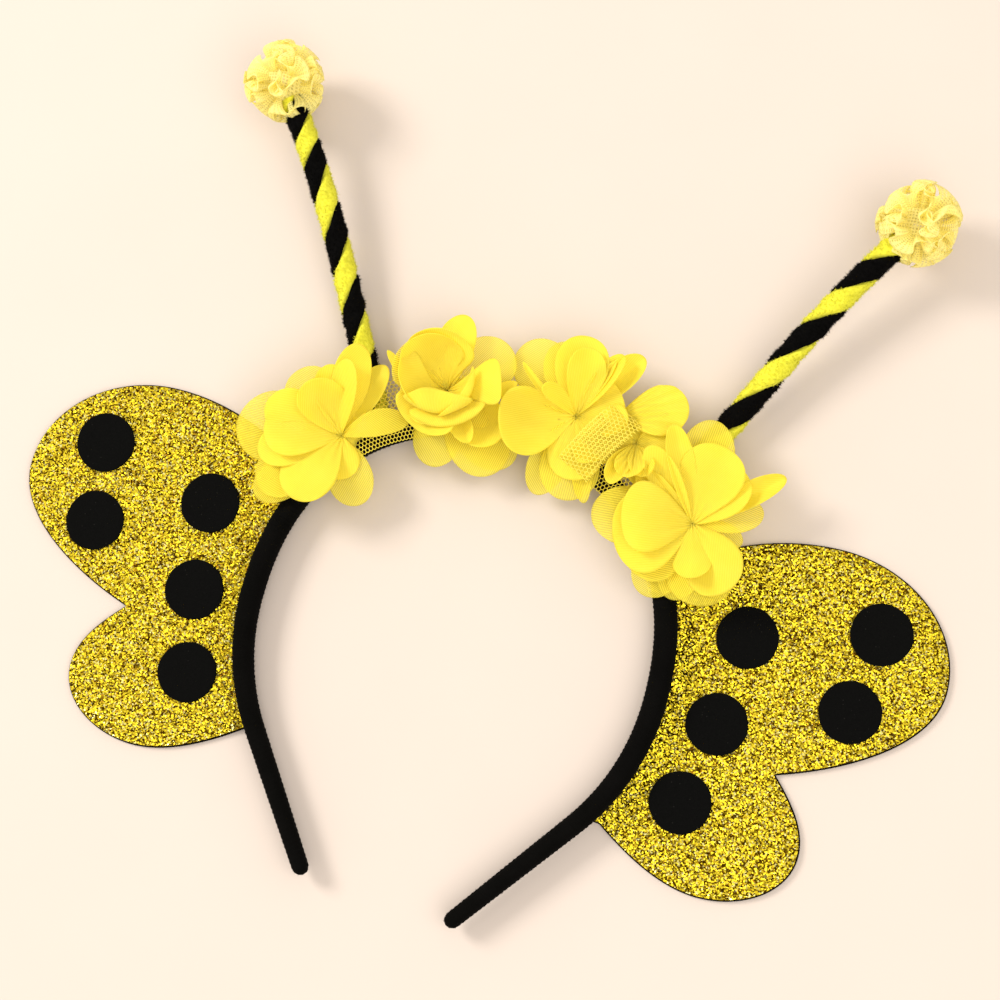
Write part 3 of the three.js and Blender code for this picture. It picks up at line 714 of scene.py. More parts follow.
GLITTER_LOW = FELT_THICK + GAP / 2
GLITTER_TOP = WING_FRONT - 0.05
FILM_INSET = 0.5
FELT_RIM, FILM_RIM = 0.35, 0.12
for side, outline in outlines.items():
    sign = -1 if side == "left" else 1
    middle_of_wing = on_wing(WING_MIDDLE) * [sign, 1]
    backing = plate(outline, middle_of_wing, 0, FELT_THICK, FELT_RIM, 8)
    new_piece(f"{side}_felt_backing", backing, felt, [f"{side}_wing_felt"])
    film_outline = outline - FILM_INSET * outward_normals(outline)
    film = plate(film_outline, middle_of_wing, GLITTER_LOW, GLITTER_TOP, FILM_RIM, 14)
    rng = np.random.default_rng(SEEDS["glitter"] + sign)
    loose = raised_flakes(film_outline, FLAKES_PER_WING, GLITTER_TOP, rng)
    new_piece(
        f"{side}_glitter_film", joined([film, loose]), glitter, [f"{side}_wing_glitter"]
    )

# %% [markdown]
# ## Felt spots
#
# The spots are discs punched from the same felt, 20 mm across. A punched edge is soft and a little
# hairy, so the rim is rounded and short fibres stand out of it.

# %% Felt spots
DOT_RADIUS = 10
DOT_THICK = 0.8
DOT_RIM = 0.3
DOT_FIBRES = 420
FIBRE_LENGTH = (0.15, 0.4)
FIBRE_WIDTH = 0.09
WING_DOTS = ((0.715, 0.2), (0.669, 0.422), (0.231, 0.295), (0.198, 0.541), (0.136, 0.768))

ring_turn = np.linspace(0, 2 * np.pi, 96, endpoint=False)
rng = np.random.default_rng(SEEDS["spots"])
for sign, side in ((-1, "left"), (1, "right")):
    for number, share in enumerate(WING_DOTS, 1):
        centre = on_wing(share) * [sign, 1]
        wobble = 0.06 * np.sin(3 * ring_turn + number) + 0.05 * np.sin(7 * ring_turn + 2 * number)
        circle = np.stack([np.cos(ring_turn), np.sin(ring_turn)], -1)
        rim = centre + circle * (DOT_RADIUS + wobble)[:, None]
        low = WING_FRONT + GAP / 2
        disc = plate(rim, centre, low, low + DOT_THICK, DOT_RIM, 6)
        turn = rng.uniform(0, 2 * np.pi, DOT_FIBRES)
        out = np.stack([np.cos(turn), np.sin(turn), np.zeros(DOT_FIBRES)], -1)
        level = rng.uniform(low + 0.1, low + DOT_THICK - 0.1, DOT_FIBRES)
        roots = np.append(centre, 0) + out * (DOT_RADIUS - 0.15) + level[:, None] * UP
        lean = unit(out + 0.6 * rng.normal(size=out.shape))
        hairs, _ = spikes(roots, lean, rng.uniform(*FIBRE_LENGTH, DOT_FIBRES), FIBRE_WIDTH, rng)
        name = f"{side}_felt_spot_{number}"
        new_piece(name, joined([disc, hairs]), felt, [f"{side}_dot_{number}"])

# %% [markdown]
# ## Twisted chenille antennae
#
# A pipe cleaner is a thin wire core with short nylon pile twisted into it. Two of them, one yellow
# and one black, are wound round each other. Each is modelled as a helix round a gently rising axis,
# with thousands of slim pile fibres on it that make its edge bristly. Real hair would be lost when
# the model is exported, so the fibres are mesh.

# %% Chenille
# For each colour: the painted shade down at the roots, then the painted light at the tips.
CHENILLE_SHADE_AND_LIGHT = {"yellow": ("#C9C41C", "#F1ED50"), "black": ("#030303", "#0C0B0A")}
chenille = {}
for colour, (painted_shade_colour, painted_light_colour) in CHENILLE_SHADE_AND_LIGHT.items():
    # Nylon pile: matt. Its colour holds painted shade, darker down towards the roots between the
    # fibres, and painted light at the tips, broken up by clumps.
    pile, place = new_material(f"{colour.capitalize()} nylon chenille")
    height = add_node(pile, "Attribute", {}, attribute_name="tip").outputs["Fac"]
    clump = add_node(pile, "TexNoise", {"Vector": place, "Scale": per_metre(0.9), "Detail": 4.0})
    level = add_node(pile, "Math", {0: height, 1: clump.outputs["Fac"]}, operation="ADD")
    share = add_node(
        pile, "MapRange", {"Value": level.outputs[0], "From Min": 0.35, "From Max": 1.25}
    )
    pile_colour_with_painted_shade = add_node(
        pile,
        "Mix",
        {
            "Factor": share.outputs["Result"],
            COLOUR_A: linear(painted_shade_colour),
            COLOUR_B: linear(painted_light_colour),
        },
        data_type="RGBA",
    )
    bump = add_node(
        pile, "Bump", {"Height": clump.outputs["Fac"], "Strength": 0.8, "Distance": 0.4 * MM}
    )
    pile_shader = add_node(
        pile,
        "BsdfPrincipled",
        {
            "Base Color": pile_colour_with_painted_shade.outputs[COLOUR_OUT],
            "Roughness": 0.9,
            "Specular IOR Level": 0.03 if colour == "black" else 0.15,
            "Sheen Weight": 0.02 if colour == "black" else 0.2,
            "Sheen Tint": linear("#8A8682" if colour == "black" else "#FFFF8C"),
            "Normal": bump.outputs[0],
        },
    )
    add_node(pile, "OutputMaterial", {"Surface": pile_shader.outputs[0]})
    chenille[colour] = pile

# %% Antenna axes
ANTENNA_LENGTH = 126
ANTENNA_RISE = 13
CHENILLE_OFFSET = 1.2
CHENILLE_OUTER, CHENILLE_INNER, CHENILLE_HALF = 2.65, 1.6, 3.7
TUFT_PITCH = 1.3
PILE_LENGTH = (0.45, 0.8)
PILE_WIDTH = 0.2
FACES_UP = 97
SOCKET_DEPTH = 9
POMPOM_RADIUS = 14
BAND_CLEAR = BAND_THICK / 2 + 0.2

# Seat on the crown, lean from +Y in degrees, length as a share, and the places along it, in mm,
# where the black wire lies on top, one for each turn of the twist.
ANTENNAE = {
    "left": {
        "seat": 123.6,
        "lean": 29.9,
        "length": 0.975,
        "black_on_top": (-9, 17, 43.3, 68.4, 93.9, 111.8, 130),
    },
    "right": {
        "seat": 45,
        "lean": -29.2,
        "length": 1.03,
        "black_on_top": (-18, 15, 48.6, 82.3, 109.7, 133),
    },
}
# Bow: share along, share aside, share of the rise.
ANTENNA_BOW = np.array([
    (0, 0, 0), (0.22, 0.006, 0), (0.42, 0.014, 0.15),
    (0.6, 0.02, 0.4), (0.8, 0.016, 0.7), (1, 0, 1),
])


def through(points, steps):
    """Smooth line through points: each stretch is a cubic with slopes set by its neighbours."""
    more = np.concatenate([2 * points[:1] - points[1:2], points, 2 * points[-1:] - points[-2:-1]])
    before, here, after, later = (more[k : len(more) - 3 + k, None] for k in range(4))
    t = np.linspace(0, 1, steps, endpoint=False)[None, :, None]
    line = here + t / 2 * (after - before)
    line = line + t**2 / 2 * (2 * before - 5 * here + 4 * after - later)
    line = line + t**3 / 2 * (3 * here - before - 3 * after + later)
    return np.concatenate([line.reshape(-1, points.shape[1]), points[-1:]])


def antenna_axis(row, count):
    """Even points of an antenna's axis, from the band's centre line to the pompom's middle."""
    length = row["length"] * ANTENNA_LENGTH
    lean = np.radians(row["lean"])
    along = np.array([-np.sin(lean), np.cos(lean), 0])
    aside = np.array([np.cos(lean), np.sin(lean), 0]) * np.sign(row["lean"])
    root = np.append(on_crown(row["seat"]), BAND_Z)
    shares = ANTENNA_BOW[:, :1] * along * length + ANTENNA_BOW[:, 1:2] * aside * length
    return evenly(through(root + shares + ANTENNA_BOW[:, 2:] * ANTENNA_RISE * UP, 40), count)


def strand(row, turn, rows, sides, rng, fibre_count):
    """One pipe cleaner: a tube round a helix, and pile fibres that stand on it.

    The turn round the axis grows by a whole turn between two places where black lies on top. The
    pile of both wires presses together, so a section is half of a round: a half oval that reaches
    far out from the axis, closed by a shallow one towards it. The pile's roots are points of the
    outer half, picked at random, and their length swells and shrinks along the wire in tufts.
    """
    axis, at = antenna_axis(row, 1200)
    stop = at[-1] - (POMPOM_RADIUS - SOCKET_DEPTH)
    where = np.linspace(BAND_CLEAR, stop, rows)
    line = np.stack([np.interp(where, at, axis[:, k]) for k in range(3)], -1)
    heading = unit(np.gradient(line, axis=0))
    across = unit(np.cross(UP, heading))
    up = np.cross(heading, across)
    tops = row["black_on_top"]
    angle = np.radians(FACES_UP + turn) + 2 * np.pi * np.interp(where, tops, np.arange(len(tops)))
    cosine, sine = np.cos(angle)[:, None], np.sin(angle)[:, None]
    radial, sideways = cosine * across + sine * up, cosine * up - sine * across
    round_turn = np.linspace(0, 2 * np.pi, sides, endpoint=False)[None, :, None]
    reach = np.where(np.cos(round_turn) > 0, CHENILLE_OUTER, CHENILLE_INNER) * np.cos(round_turn)
    lumps = 1 + 0.03 * np.sin(where / 0.9 + 2 * np.sin(where / 3.1))[:, None, None]
    ends = np.sqrt(1 - np.clip(1 - (stop - where) / 1.5, 0, 0.98) ** 2)[:, None, None]
    middle = line + CHENILLE_OFFSET * radial
    width = CHENILLE_HALF * np.sin(round_turn)
    rings = middle[:, None] + ends * lumps * (reach * radial[:, None] + width * sideways[:, None])
    core = tube(rings, middle[0], middle[-1])
    out = unit(
        np.cos(round_turn) / CHENILLE_OUTER * radial[:, None]
        + np.sin(round_turn) / CHENILLE_HALF * sideways[:, None]
    )
    outer_sides = np.flatnonzero(np.cos(round_turn.ravel()) > -0.2)
    row_pick = rng.integers(0, rows, fibre_count)
    side_pick = rng.choice(outer_sides, fibre_count)
    normal = out[row_pick, side_pick]
    roots = rings[row_pick, side_pick] + rng.normal(scale=0.18, size=normal.shape) - 0.2 * normal
    lean = unit(normal + 0.35 * rng.normal(size=normal.shape))
    tuft = np.cos(2 * np.pi * where[row_pick] / TUFT_PITCH + round_turn.ravel()[side_pick])
    lengths = rng.uniform(*PILE_LENGTH, fibre_count) * (1 + 0.45 * tuft)
    lengths = lengths + 0.4 * (rng.random(fibre_count) < 0.1)
    pile, share = spikes(roots, lean, lengths, PILE_WIDTH, rng)
    # The core sits low in the pile, so it gets the painted shade too.
    tip = np.concatenate([np.full(len(core[0]), 0.25), share])
    return joined([core, pile]), tip


PILE_FIBRES = 11500
for side, row in ANTENNAE.items():
    for colour, turn in (("yellow", 180), ("black", 0)):
        rng = np.random.default_rng(SEEDS["chenille"] + turn + (side == "right"))
        body, tip = strand(row, turn, 320, 24, rng, PILE_FIBRES)
        new_piece(
            f"{side}_{colour}_chenille",
            body,
            chenille[colour],
            [f"{side}_antenna_{colour}"],
            values={"tip": tip},
        )

# %% [markdown]
# ## Sheer cloth
#
# Chiffon and tulle let light through their holes and through their threads, and the net through the
# holes between its threads. Chiffon and tulle are each a mix of three things: a matt surface that
# reflects, the same surface lit from behind, and a share of open holes. A piece has a front and a
# back wall, so light passes two of them, and the open share of one wall is the square root of what
# the cloth lets through.


# %% Cloth finishes
def sheer_output(material, colour, glow, openness, through_share, normal=None):
    """Joins the three: reflecting and glowing cloth, then the open share between its threads."""
    extra = {} if normal is None else {"Normal": normal}
    front = add_node(
        material,
        "BsdfPrincipled",
        {
            "Base Color": colour,
            "Roughness": 0.8,
            "Specular IOR Level": 0.2,
            "Sheen Weight": 0.15,
            "Sheen Tint": linear("#FFFCC0"),
            **extra,
        },
    )
    back = add_node(material, "BsdfTranslucent", {"Color": glow, **extra})
    cloth = add_node(
        material, "MixShader", {0: through_share, 1: front.outputs[0], 2: back.outputs[0]}
    )
    hole = add_node(material, "BsdfTransparent", {})
    mixed = add_node(material, "MixShader", {0: openness, 1: cloth.outputs[0], 2: hole.outputs[0]})
    add_node(material, "OutputMaterial", {"Surface": mixed.outputs[0]})


# Polyester chiffon: crepe threads in a plain weave, dyed bright yellow, a little unevenly. One set
# of threads stands out as fine parallel ribs 0.55 mm apart, and the colour holds painted light and
# shade: lighter on the ribs, darker in the grooves between them. Inner petals are doubled and hide
# more.
RIB_SPACING_CM = 0.055
WAVE_PERIOD = 2 * np.pi / 20
CHIFFON_GLOW = 0.48
chiffon, spot = new_material("Yellow polyester chiffon")
place = add_node(chiffon, "UVMap", {}, uv_map="Cloth").outputs["UV"]
ribs = add_node(
    chiffon,
    "TexWave",
    {
        "Vector": place,
        "Scale": WAVE_PERIOD / RIB_SPACING_CM,
        "Distortion": 0.6,
        "Detail Scale": 1.5,
    },
    wave_type="BANDS",
    bands_direction="X",
)
single = add_node(chiffon, "Attribute", {}, attribute_name="single").outputs["Fac"]
uneven = add_node(chiffon, "TexNoise", {"Vector": spot, "Scale": per_metre(6), "Detail": 3.0})
open_rib = add_node(
    chiffon,
    "MapRange",
    {
        "Value": ribs.outputs["Fac"],
        "From Min": 0.1,
        "From Max": 0.9,
        "To Min": 0.56,
        "To Max": 0.22,
    },
)
open_share = add_node(
    chiffon, "Math", {0: open_rib.outputs["Result"], 1: single}, operation="MULTIPLY"
)
# Painted light and shade: the colour is lighter on the ribs and darker between them, over the
# uneven dye.
painted_rib_light = add_node(chiffon, "Math", {0: ribs.outputs["Fac"], 1: 0.6}, operation="MULTIPLY")
dye_and_painted_rib_light = add_node(
    chiffon,
    "Math",
    {0: uneven.outputs["Fac"], 1: 0.4, 2: painted_rib_light.outputs[0]},
    operation="MULTIPLY_ADD",
)
cloth_colour = add_node(
    chiffon,
    "Mix",
    {"Factor": dye_and_painted_rib_light.outputs[0], COLOUR_A: linear("#F1DB39"), COLOUR_B: linear("#FFF368")},
    data_type="RGBA",
)
rib_bump = add_node(
    chiffon, "Bump", {"Height": ribs.outputs["Fac"], "Strength": 0.3, "Distance": 0.1 * MM}
)
sheer_output(
    chiffon,
    cloth_colour.outputs[COLOUR_OUT],
    linear("#FFF84C"),
    open_share.outputs[0],
    CHIFFON_GLOW,
    rib_bump.outputs[0],
)

# Nylon tulle: a fine hexagonal net, pale yellow. Its holes are 1 mm apart.
HOLE_SPACING_CM = 0.1
TULLE_GLOW = 0.45
tulle, spot = new_material("Pale yellow nylon tulle")
place = add_node(tulle, "UVMap", {}, uv_map="Cloth").outputs["UV"]
holes = add_node(
    tulle, "TexVoronoi", {"Vector": place, "Scale": 1 / HOLE_SPACING_CM, "Randomness": 0.2}
)
open_hole = add_node(
    tulle,
    "MapRange",
    {
        "Value": holes.outputs["Distance"],
        "From Min": 0.22,
        "From Max": 0.4,
        "To Min": 0.7,
        "To Max": 0.1,
    },
)
uneven = add_node(tulle, "TexNoise", {"Vector": spot, "Scale": per_metre(5), "Detail": 3.0})
cloth_colour = add_node(
    tulle,
    "Mix",
    {"Factor": uneven.outputs["Fac"], COLOUR_A: linear("#FFF6A0"), COLOUR_B: linear("#FFFAB8")},
    data_type="RGBA",
)
sheer_output(
    tulle, cloth_colour.outputs[COLOUR_OUT], linear("#FFF596"), open_hole.outputs["Result"], TULLE_GLOW
)

# Nylon net tape: knitted threads, bright yellow, a little shiny where they bend.
net, spot = new_material("Yellow nylon net")
uneven = add_node(net, "TexNoise", {"Vector": spot, "Scale": per_metre(1.1), "Detail": 3.0})
cloth_colour = add_node(
    net,
    "Mix",
    {"Factor": uneven.outputs["Fac"], COLOUR_A: linear("#EFD630"), COLOUR_B: linear("#FFF066")},
    data_type="RGBA",
)
net_shader = add_node(
    net, "BsdfPrincipled", {"Base Color": cloth_colour.outputs[COLOUR_OUT], "Roughness": 0.6}
)
add_node(net, "OutputMaterial", {"Surface": net_shader.outputs[0]})

# %% [markdown]
# ## Net tape
#
# The flowers are sewn to a tape of hexagonal net that lies on the crown. A picture of a net on a
# flat strip would look painted, so each thread is a slim three-sided rod. Every hexagon owns three
# threads, the other three belong to its neighbours. A sheet is then bent by moving the ends of all
# threads with one function.

# %% Net threads
HOLE_PITCH = 1.45
THREAD_RADIUS = 0.15


def net_threads(width, length):
    """Ends of all threads of a flat net, width by length.

    Hole centres stand in rows, every second row moved by half a pitch. From the top corner of each
    hole three threads go out, to the upper left, the upper right and straight up.
    """
    side = HOLE_PITCH / np.sqrt(3)
    columns = int(length / HOLE_PITCH)
    rows = int(width / (1.5 * side))
    j, i = np.meshgrid(np.arange(rows), np.arange(columns), indexing="ij")
    x = (i + 0.5 * (j % 2)) * HOLE_PITCH
    y = j * 1.5 * side
    start = np.stack([x.ravel(), y.ravel() + side], -1)
    steps = np.array([(-HOLE_PITCH / 2, -side / 2), (HOLE_PITCH / 2, -side / 2), (0, side)])
    starts = np.repeat(start, 3, 0)
    ends = starts + np.tile(steps, (len(start), 1))
    inside_strip = (ends[:, 1] < width) & (ends[:, 0] > 0) & (ends[:, 0] < length)
    return starts[inside_strip], ends[inside_strip]


def rods(starts, ends, radius):
    """Three-sided rods with closed ends, from the points starts to the points ends."""
    heading = unit(ends - starts)
    side = unit(np.cross(heading, UP + 0.01))
    other = np.cross(heading, side)
    rings = []
    for point in (starts - heading * radius / 2, ends + heading * radius / 2):
        for turn in np.radians([90, 210, 330]):
            rings.append(point + radius * (np.cos(turn) * side + np.sin(turn) * other))
    points = np.stack(rings, 1).reshape(-1, 3)
    sides = np.array([(0, 1, 4, 3), (1, 2, 5, 4), (2, 0, 3, 5)])
    caps = np.array([(2, 1, 0), (3, 4, 5)])
    base = 6 * np.arange(len(starts))[:, None, None]
    return points, [(base + sides).reshape(-1, 4), (base + caps).reshape(-1, 3)]


def net_piece(name, width, length, bend, radius, replaced=()):
    """A strip of net bent by a function, and the area in square mm that its threads cover."""
    starts, ends = net_threads(width, length)
    body = rods(bend(starts), bend(ends), radius)
    covered = 3 * radius * np.sqrt(3) / 2 * np.linalg.norm(ends - starts, axis=1).sum()
    return new_piece(name, body, net, replaced), covered


# %% Net tape on the crown
TAPE_WIDTH = 22
TAPE_THICK = 1
TAPE_INNER = 4
NET_EDGE = 0.9
TAPE_START, TAPE_END = 25, 143
TAPE_Z = BAND_Z + BAND_DEEP / 2 + GAP

tape_angles = np.linspace(TAPE_START, TAPE_END, 400)
tape_line = on_crown(tape_angles, TAPE_WIDTH / 2 - TAPE_INNER)
tape_steps = np.linalg.norm(np.diff(tape_line, axis=0), axis=1)
tape_at = np.concatenate([[0], np.cumsum(tape_steps)])


def on_tape(flat):
    """A place on the flat tape laid along the crown.

    Its length becomes a clock angle and its width the way out from the band, and the tape swells up
    and down by a fraction of a millimetre.
    """
    angle = np.interp(flat[:, 0], tape_at, tape_angles)
    x, y = on_crown(angle, flat[:, 1] - TAPE_INNER - NET_EDGE).T
    swell = 0.3 * np.sin(flat[:, 0] / 4.1) * np.cos(flat[:, 1] / 3.3)
    return np.stack([x, y, TAPE_Z + TAPE_THICK / 2 + swell], -1)


tape, thread_area = net_piece(
    "crown_net_tape", TAPE_WIDTH, tape_at[-1], on_tape, THREAD_RADIUS, ["net_tape"]
)
print("tape, mm:", TAPE_WIDTH, "by", tape_at[-1].round(1))
print("share that its threads cover:", round(thread_area / TAPE_WIDTH / tape_at[-1], 2))

# %% [markdown]
# ## Chiffon flowers
#
# A flower is one or two dozen round chiffon petals, their roots gathered and sewn to one point, in
# two or three layers. Cloth simulation would let them fall flat, because real ones are held up by
# the stiff gathers, so each petal is a surface shaped one by one: a spoon outline bent along its
# length, cupped across it, and rippled at the rim. A table gives each petal of this headband its
# own shape.

# %% Petal tables
PETAL_LENGTH = 25
PETAL_WIDTH = 24
PETAL_RISE = 15
# The heart is where the roots meet: a low cone, and the height that the roots fill between them.
HEART_DIAMETER = 12
HEART_HEIGHT = 2.6
HEART_RISE = 1
HEART_Z = TAPE_Z + TAPE_THICK + GAP

# Seat as a clock angle, and the share of the tape's width from its inner edge. Each petal: turn in
# degrees from +X, then reach, rise of the tip, width, arch along and cup across, as shares of the
# petal sizes, and then what else it does. hook brings its rim back over the heart, wrap bends it
# round the heart, lean moves its rim in mm, tilt lifts one side, bow bends it sideways, pleat
# folds it in rays, start moves its root in mm, and sheer makes it a single layer.
FLOWERS = {
    "flower_1": (133.5, 0.39, (
        (-110, 1.04, 0.3, 0.8, 0.25, -0.1, {"tilt": -0.1}),
        (-63, 0.95, -0.13, 0.64, 0.15, -0.1, {}),
        (-70, 0.6, 0.15, 0.5, 0.1, -0.3, {}),
        (24, 0.92, 0.1, 0.4, 0.4, 0.3, {"tilt": 0.35, "sheer": 1}),
        (90, 1.2, 0.35, 0.5, 0.1, 0.1, {"tilt": -0.3}),
        (70, 1.09, 0.1, 0.45, 0.1, 0.1, {"tilt": 0.3}),
        (96, 0.95, 0.6, 0.42, 0.05, 0.5, {"tilt": 0.5}),
        (112, 0.9, 0.5, 0.5, 0.05, 0.2, {"tilt": -0.3}),
        (128, 0.72, 0.8, 0.66, -0.1, 0.15, {"tilt": -0.25}),
        (140, 1.02, 0.25, 0.75, 0.1, 0.1, {"sheer": 1}),
        (172, 1.02, 0.45, 0.7, 0.1, 0.1, {"tilt": 0.3}),
        (189, 0.98, 0.35, 0.8, 0.1, 0.2, {"tilt": -0.2}),
        (186, 1.42, -0.1, 1, 0.2, 0, {}),
        (226, 1.28, 0, 0.78, 0.1, 0, {"pleat": 0.15}),
        (205, 1.1, 0.15, 0.6, 0.2, 0.2, {}),
        (230, 1.38, -0.1, 0.62, 0.15, -0.05, {}),
    )),
    "flower_2": (104.2, 0.63, (
        (124, 0.78, 0.95, 0.95, -0.1, 0, {"hook": 0.42, "wrap": 0.9, "lean": (-4.6, 3.5)}),
        (103, 0.84, 0.9, 0.9, -0.05, 0, {"hook": 0.36, "wrap": 0.8, "lean": (-4, 3.5)}),
        (150, 0.86, 0.8, 0.85, 0, 0, {"hook": 0.38, "wrap": 0.8, "lean": (-4, 3), "sheer": 1}),
        (200, 0.82, 0.86, 0.85, 0.1, 0, {"hook": 0.5, "wrap": 0.95, "lean": (-4.6, 3)}),
        (-78, 1, 0.86, 1.15, 0.12, 0, {"hook": 0.74, "wrap": 0.85, "lean": (-4.8, 4.2)}),
        (-20, 0.86, 0.76, 0.9, 0.15, 0, {"hook": 0.5, "wrap": 0.95, "lean": (-3.5, 3)}),
        (18, 1.14, 0.7, 0.6, 0.2, -0.1, {"hook": 0.34, "wrap": 0.4}),
        (-70, 0.9, 0.5, 1.1, 0.3, -0.1, {"hook": 0.42, "wrap": 0.85}),
        (126, 0.98, 0.4, 0.16, 0.1, 0, {"start": (-6.8, -12), "bow": 0.07}),
        (-112, 0.66, 0.3, 0.9, 0.1, 0.4, {}),
        (-140, 0.6, 0.35, 0.7, 0.1, 0.4, {}),
        (93, 1, 0.3, 0.56, 0.1, 0.15, {"tilt": 0.25}),
        (47, 1, 0.05, 0.8, 0.15, 0.1, {}),
        (45, 0.72, 0.4, 0.2, 0.05, 0.1, {"start": (9.4, -5.4), "bow": -0.04}),
        (-30, 0.98, 0.15, 0.7, -0.15, 0.6, {}),
        (-45, 1.24, -0.2, 0.85, 0.15, -0.1, {}),
        (-37, 1.26, -0.35, 0.75, 0.1, -0.1, {}),
        (-54, 0.8, 0.3, 0.32, 0, 0.9, {}),
        (-87, 1, -0.27, 0.68, 0.15, -0.1, {}),
    )),
    "flower_3": (75.9, 0.7, (
        (203, 0.98, 0.5, 0.92, -0.3, 0.55, {"wrap": 0.15}),
        (157, 0.48, 0.9, 0.24, 0, 0.8, {"bow": 0.08}),
        (138, 1.2, -0.07, 0.8, 0.15, 0, {}),
        (150, 0.95, 0.4, 0.1, 0, 0.5, {"bow": -0.06}),
        (117, 1, 0.07, 0.62, 0.15, 0.1, {}),
        (96, 1.03, 0.35, 0.75, 0.1, 0.2, {"tilt": 0.2}),
        (84, 0.84, 0.75, 0.52, 0, 0.2, {"tilt": -0.4}),
        (67, 0.88, 0.55, 0.2, 0, 0.9, {}),
        (61, 0.97, 0.55, 0.32, 0, 0.9, {"tilt": 0.3}),
        (53, 1.15, 0.4, 0.42, 0, 0.7, {"tilt": -0.2}),
        (-83, 1.1, -0.05, 0.82, 0.15, -0.1, {}),
        (-76, 0.86, 0.2, 0.75, 0.15, -0.15, {"pleat": 0.2}),
        (-108, 1.12, -0.4, 0.55, 0.2, 0, {}),
        (-69, 1.14, 0, 0.28, 0.1, 0.6, {}),
        (-25, 0.7, 0.25, 0.95, 0.1, 0.2, {}),
        (22, 0.66, 0.3, 0.8, 0.1, 0.2, {"pleat": 0.2}),
    )),
    "flower_4": (61.2, 0.86, (
        (14, 0.92, 0.42, 0.68, 0.1, 0.1, {"start": (-7.4, 7.7), "pleat": 0.55}),
        (8, 0.62, 0.25, 0.8, 0.1, 0.2, {"pleat": 0.3}),
        (-108, 0.64, 0.4, 0.3, 0, 1, {"pleat": 0.3}),
        (-84, 0.5, 0.5, 0.4, 0, 0.8, {"pleat": 0.4}),
        (-60, 0.5, 0.45, 0.35, 0, 0.8, {"pleat": 0.4}),
        (-50, 0.62, 0.1, 0.6, 0, 0.3, {}),
        (175, 0.5, 0.1, 0.8, 0, 0.2, {}),
    )),
    "flower_5": (38.8, 0.86, (
        (113, 1.25, 0.6, 0.36, 0, 0.5, {"tilt": -0.3}),
        (92, 1.34, 0.25, 0.75, 0.05, 0.1, {"sheer": 1}),
        (82, 1.03, 0.5, 0.86, 0.05, 0.15, {"wrap": 0.1, "tilt": 0.1}),
        (57, 0.92, 0.4, 0.7, 0.05, 0.15, {"tilt": 0.15}),
        (40, 1.32, 0.3, 0.34, 0, 0.7, {}),
        (25, 0.92, 0, 0.5, 0.15, 0.1, {}),
        (-9, 0.68, -0.13, 0.35, 0.1, 0.3, {}),
        (-50, 1, 0.3, 0.8, 0.15, -0.15, {"tilt": -0.15}),
        (-74, 0.74, 0.6, 0.55, 0, -0.4, {}),
        (-66, 1.06, -0.1, 0.92, 0.2, 0, {}),
        (-92, 1, -0.05, 0.6, 0.2, 0, {}),
        (190, 0.98, 0.6, 0.95, 0.15, 0, {"hook": 0.1}),
        (205, 1.02, 0.25, 1.1, 0.15, 0.1, {}),
        (188, 1.3, 0, 0.8, 0.2, 0, {}),
        (225, 0.98, 0.05, 0.95, 0.2, 0, {}),
        (248, 1.1, -0.2, 0.7, 0.2, 0.1, {}),
        (135, 1.1, 0.55, 0.42, 0, 0.3, {"tilt": 0.3}),
        (152, 0.95, 0.3, 0.35, 0, 0.8, {"pleat": 0.3}),
    )),
}

# %% One petal
PETAL_WIDEST = 0.62
PETAL_NARROW = 0.07
PETAL_ROWS, PETAL_COLUMNS = 30, 23
SINGLE_BELOW = 0.1
PLAIN_PETAL = {
    "hook": 0, "wrap": 0, "lean": (0, 0), "tilt": 0,
    "bow": 0, "pleat": 0, "start": (0, 0), "sheer": 0,
}


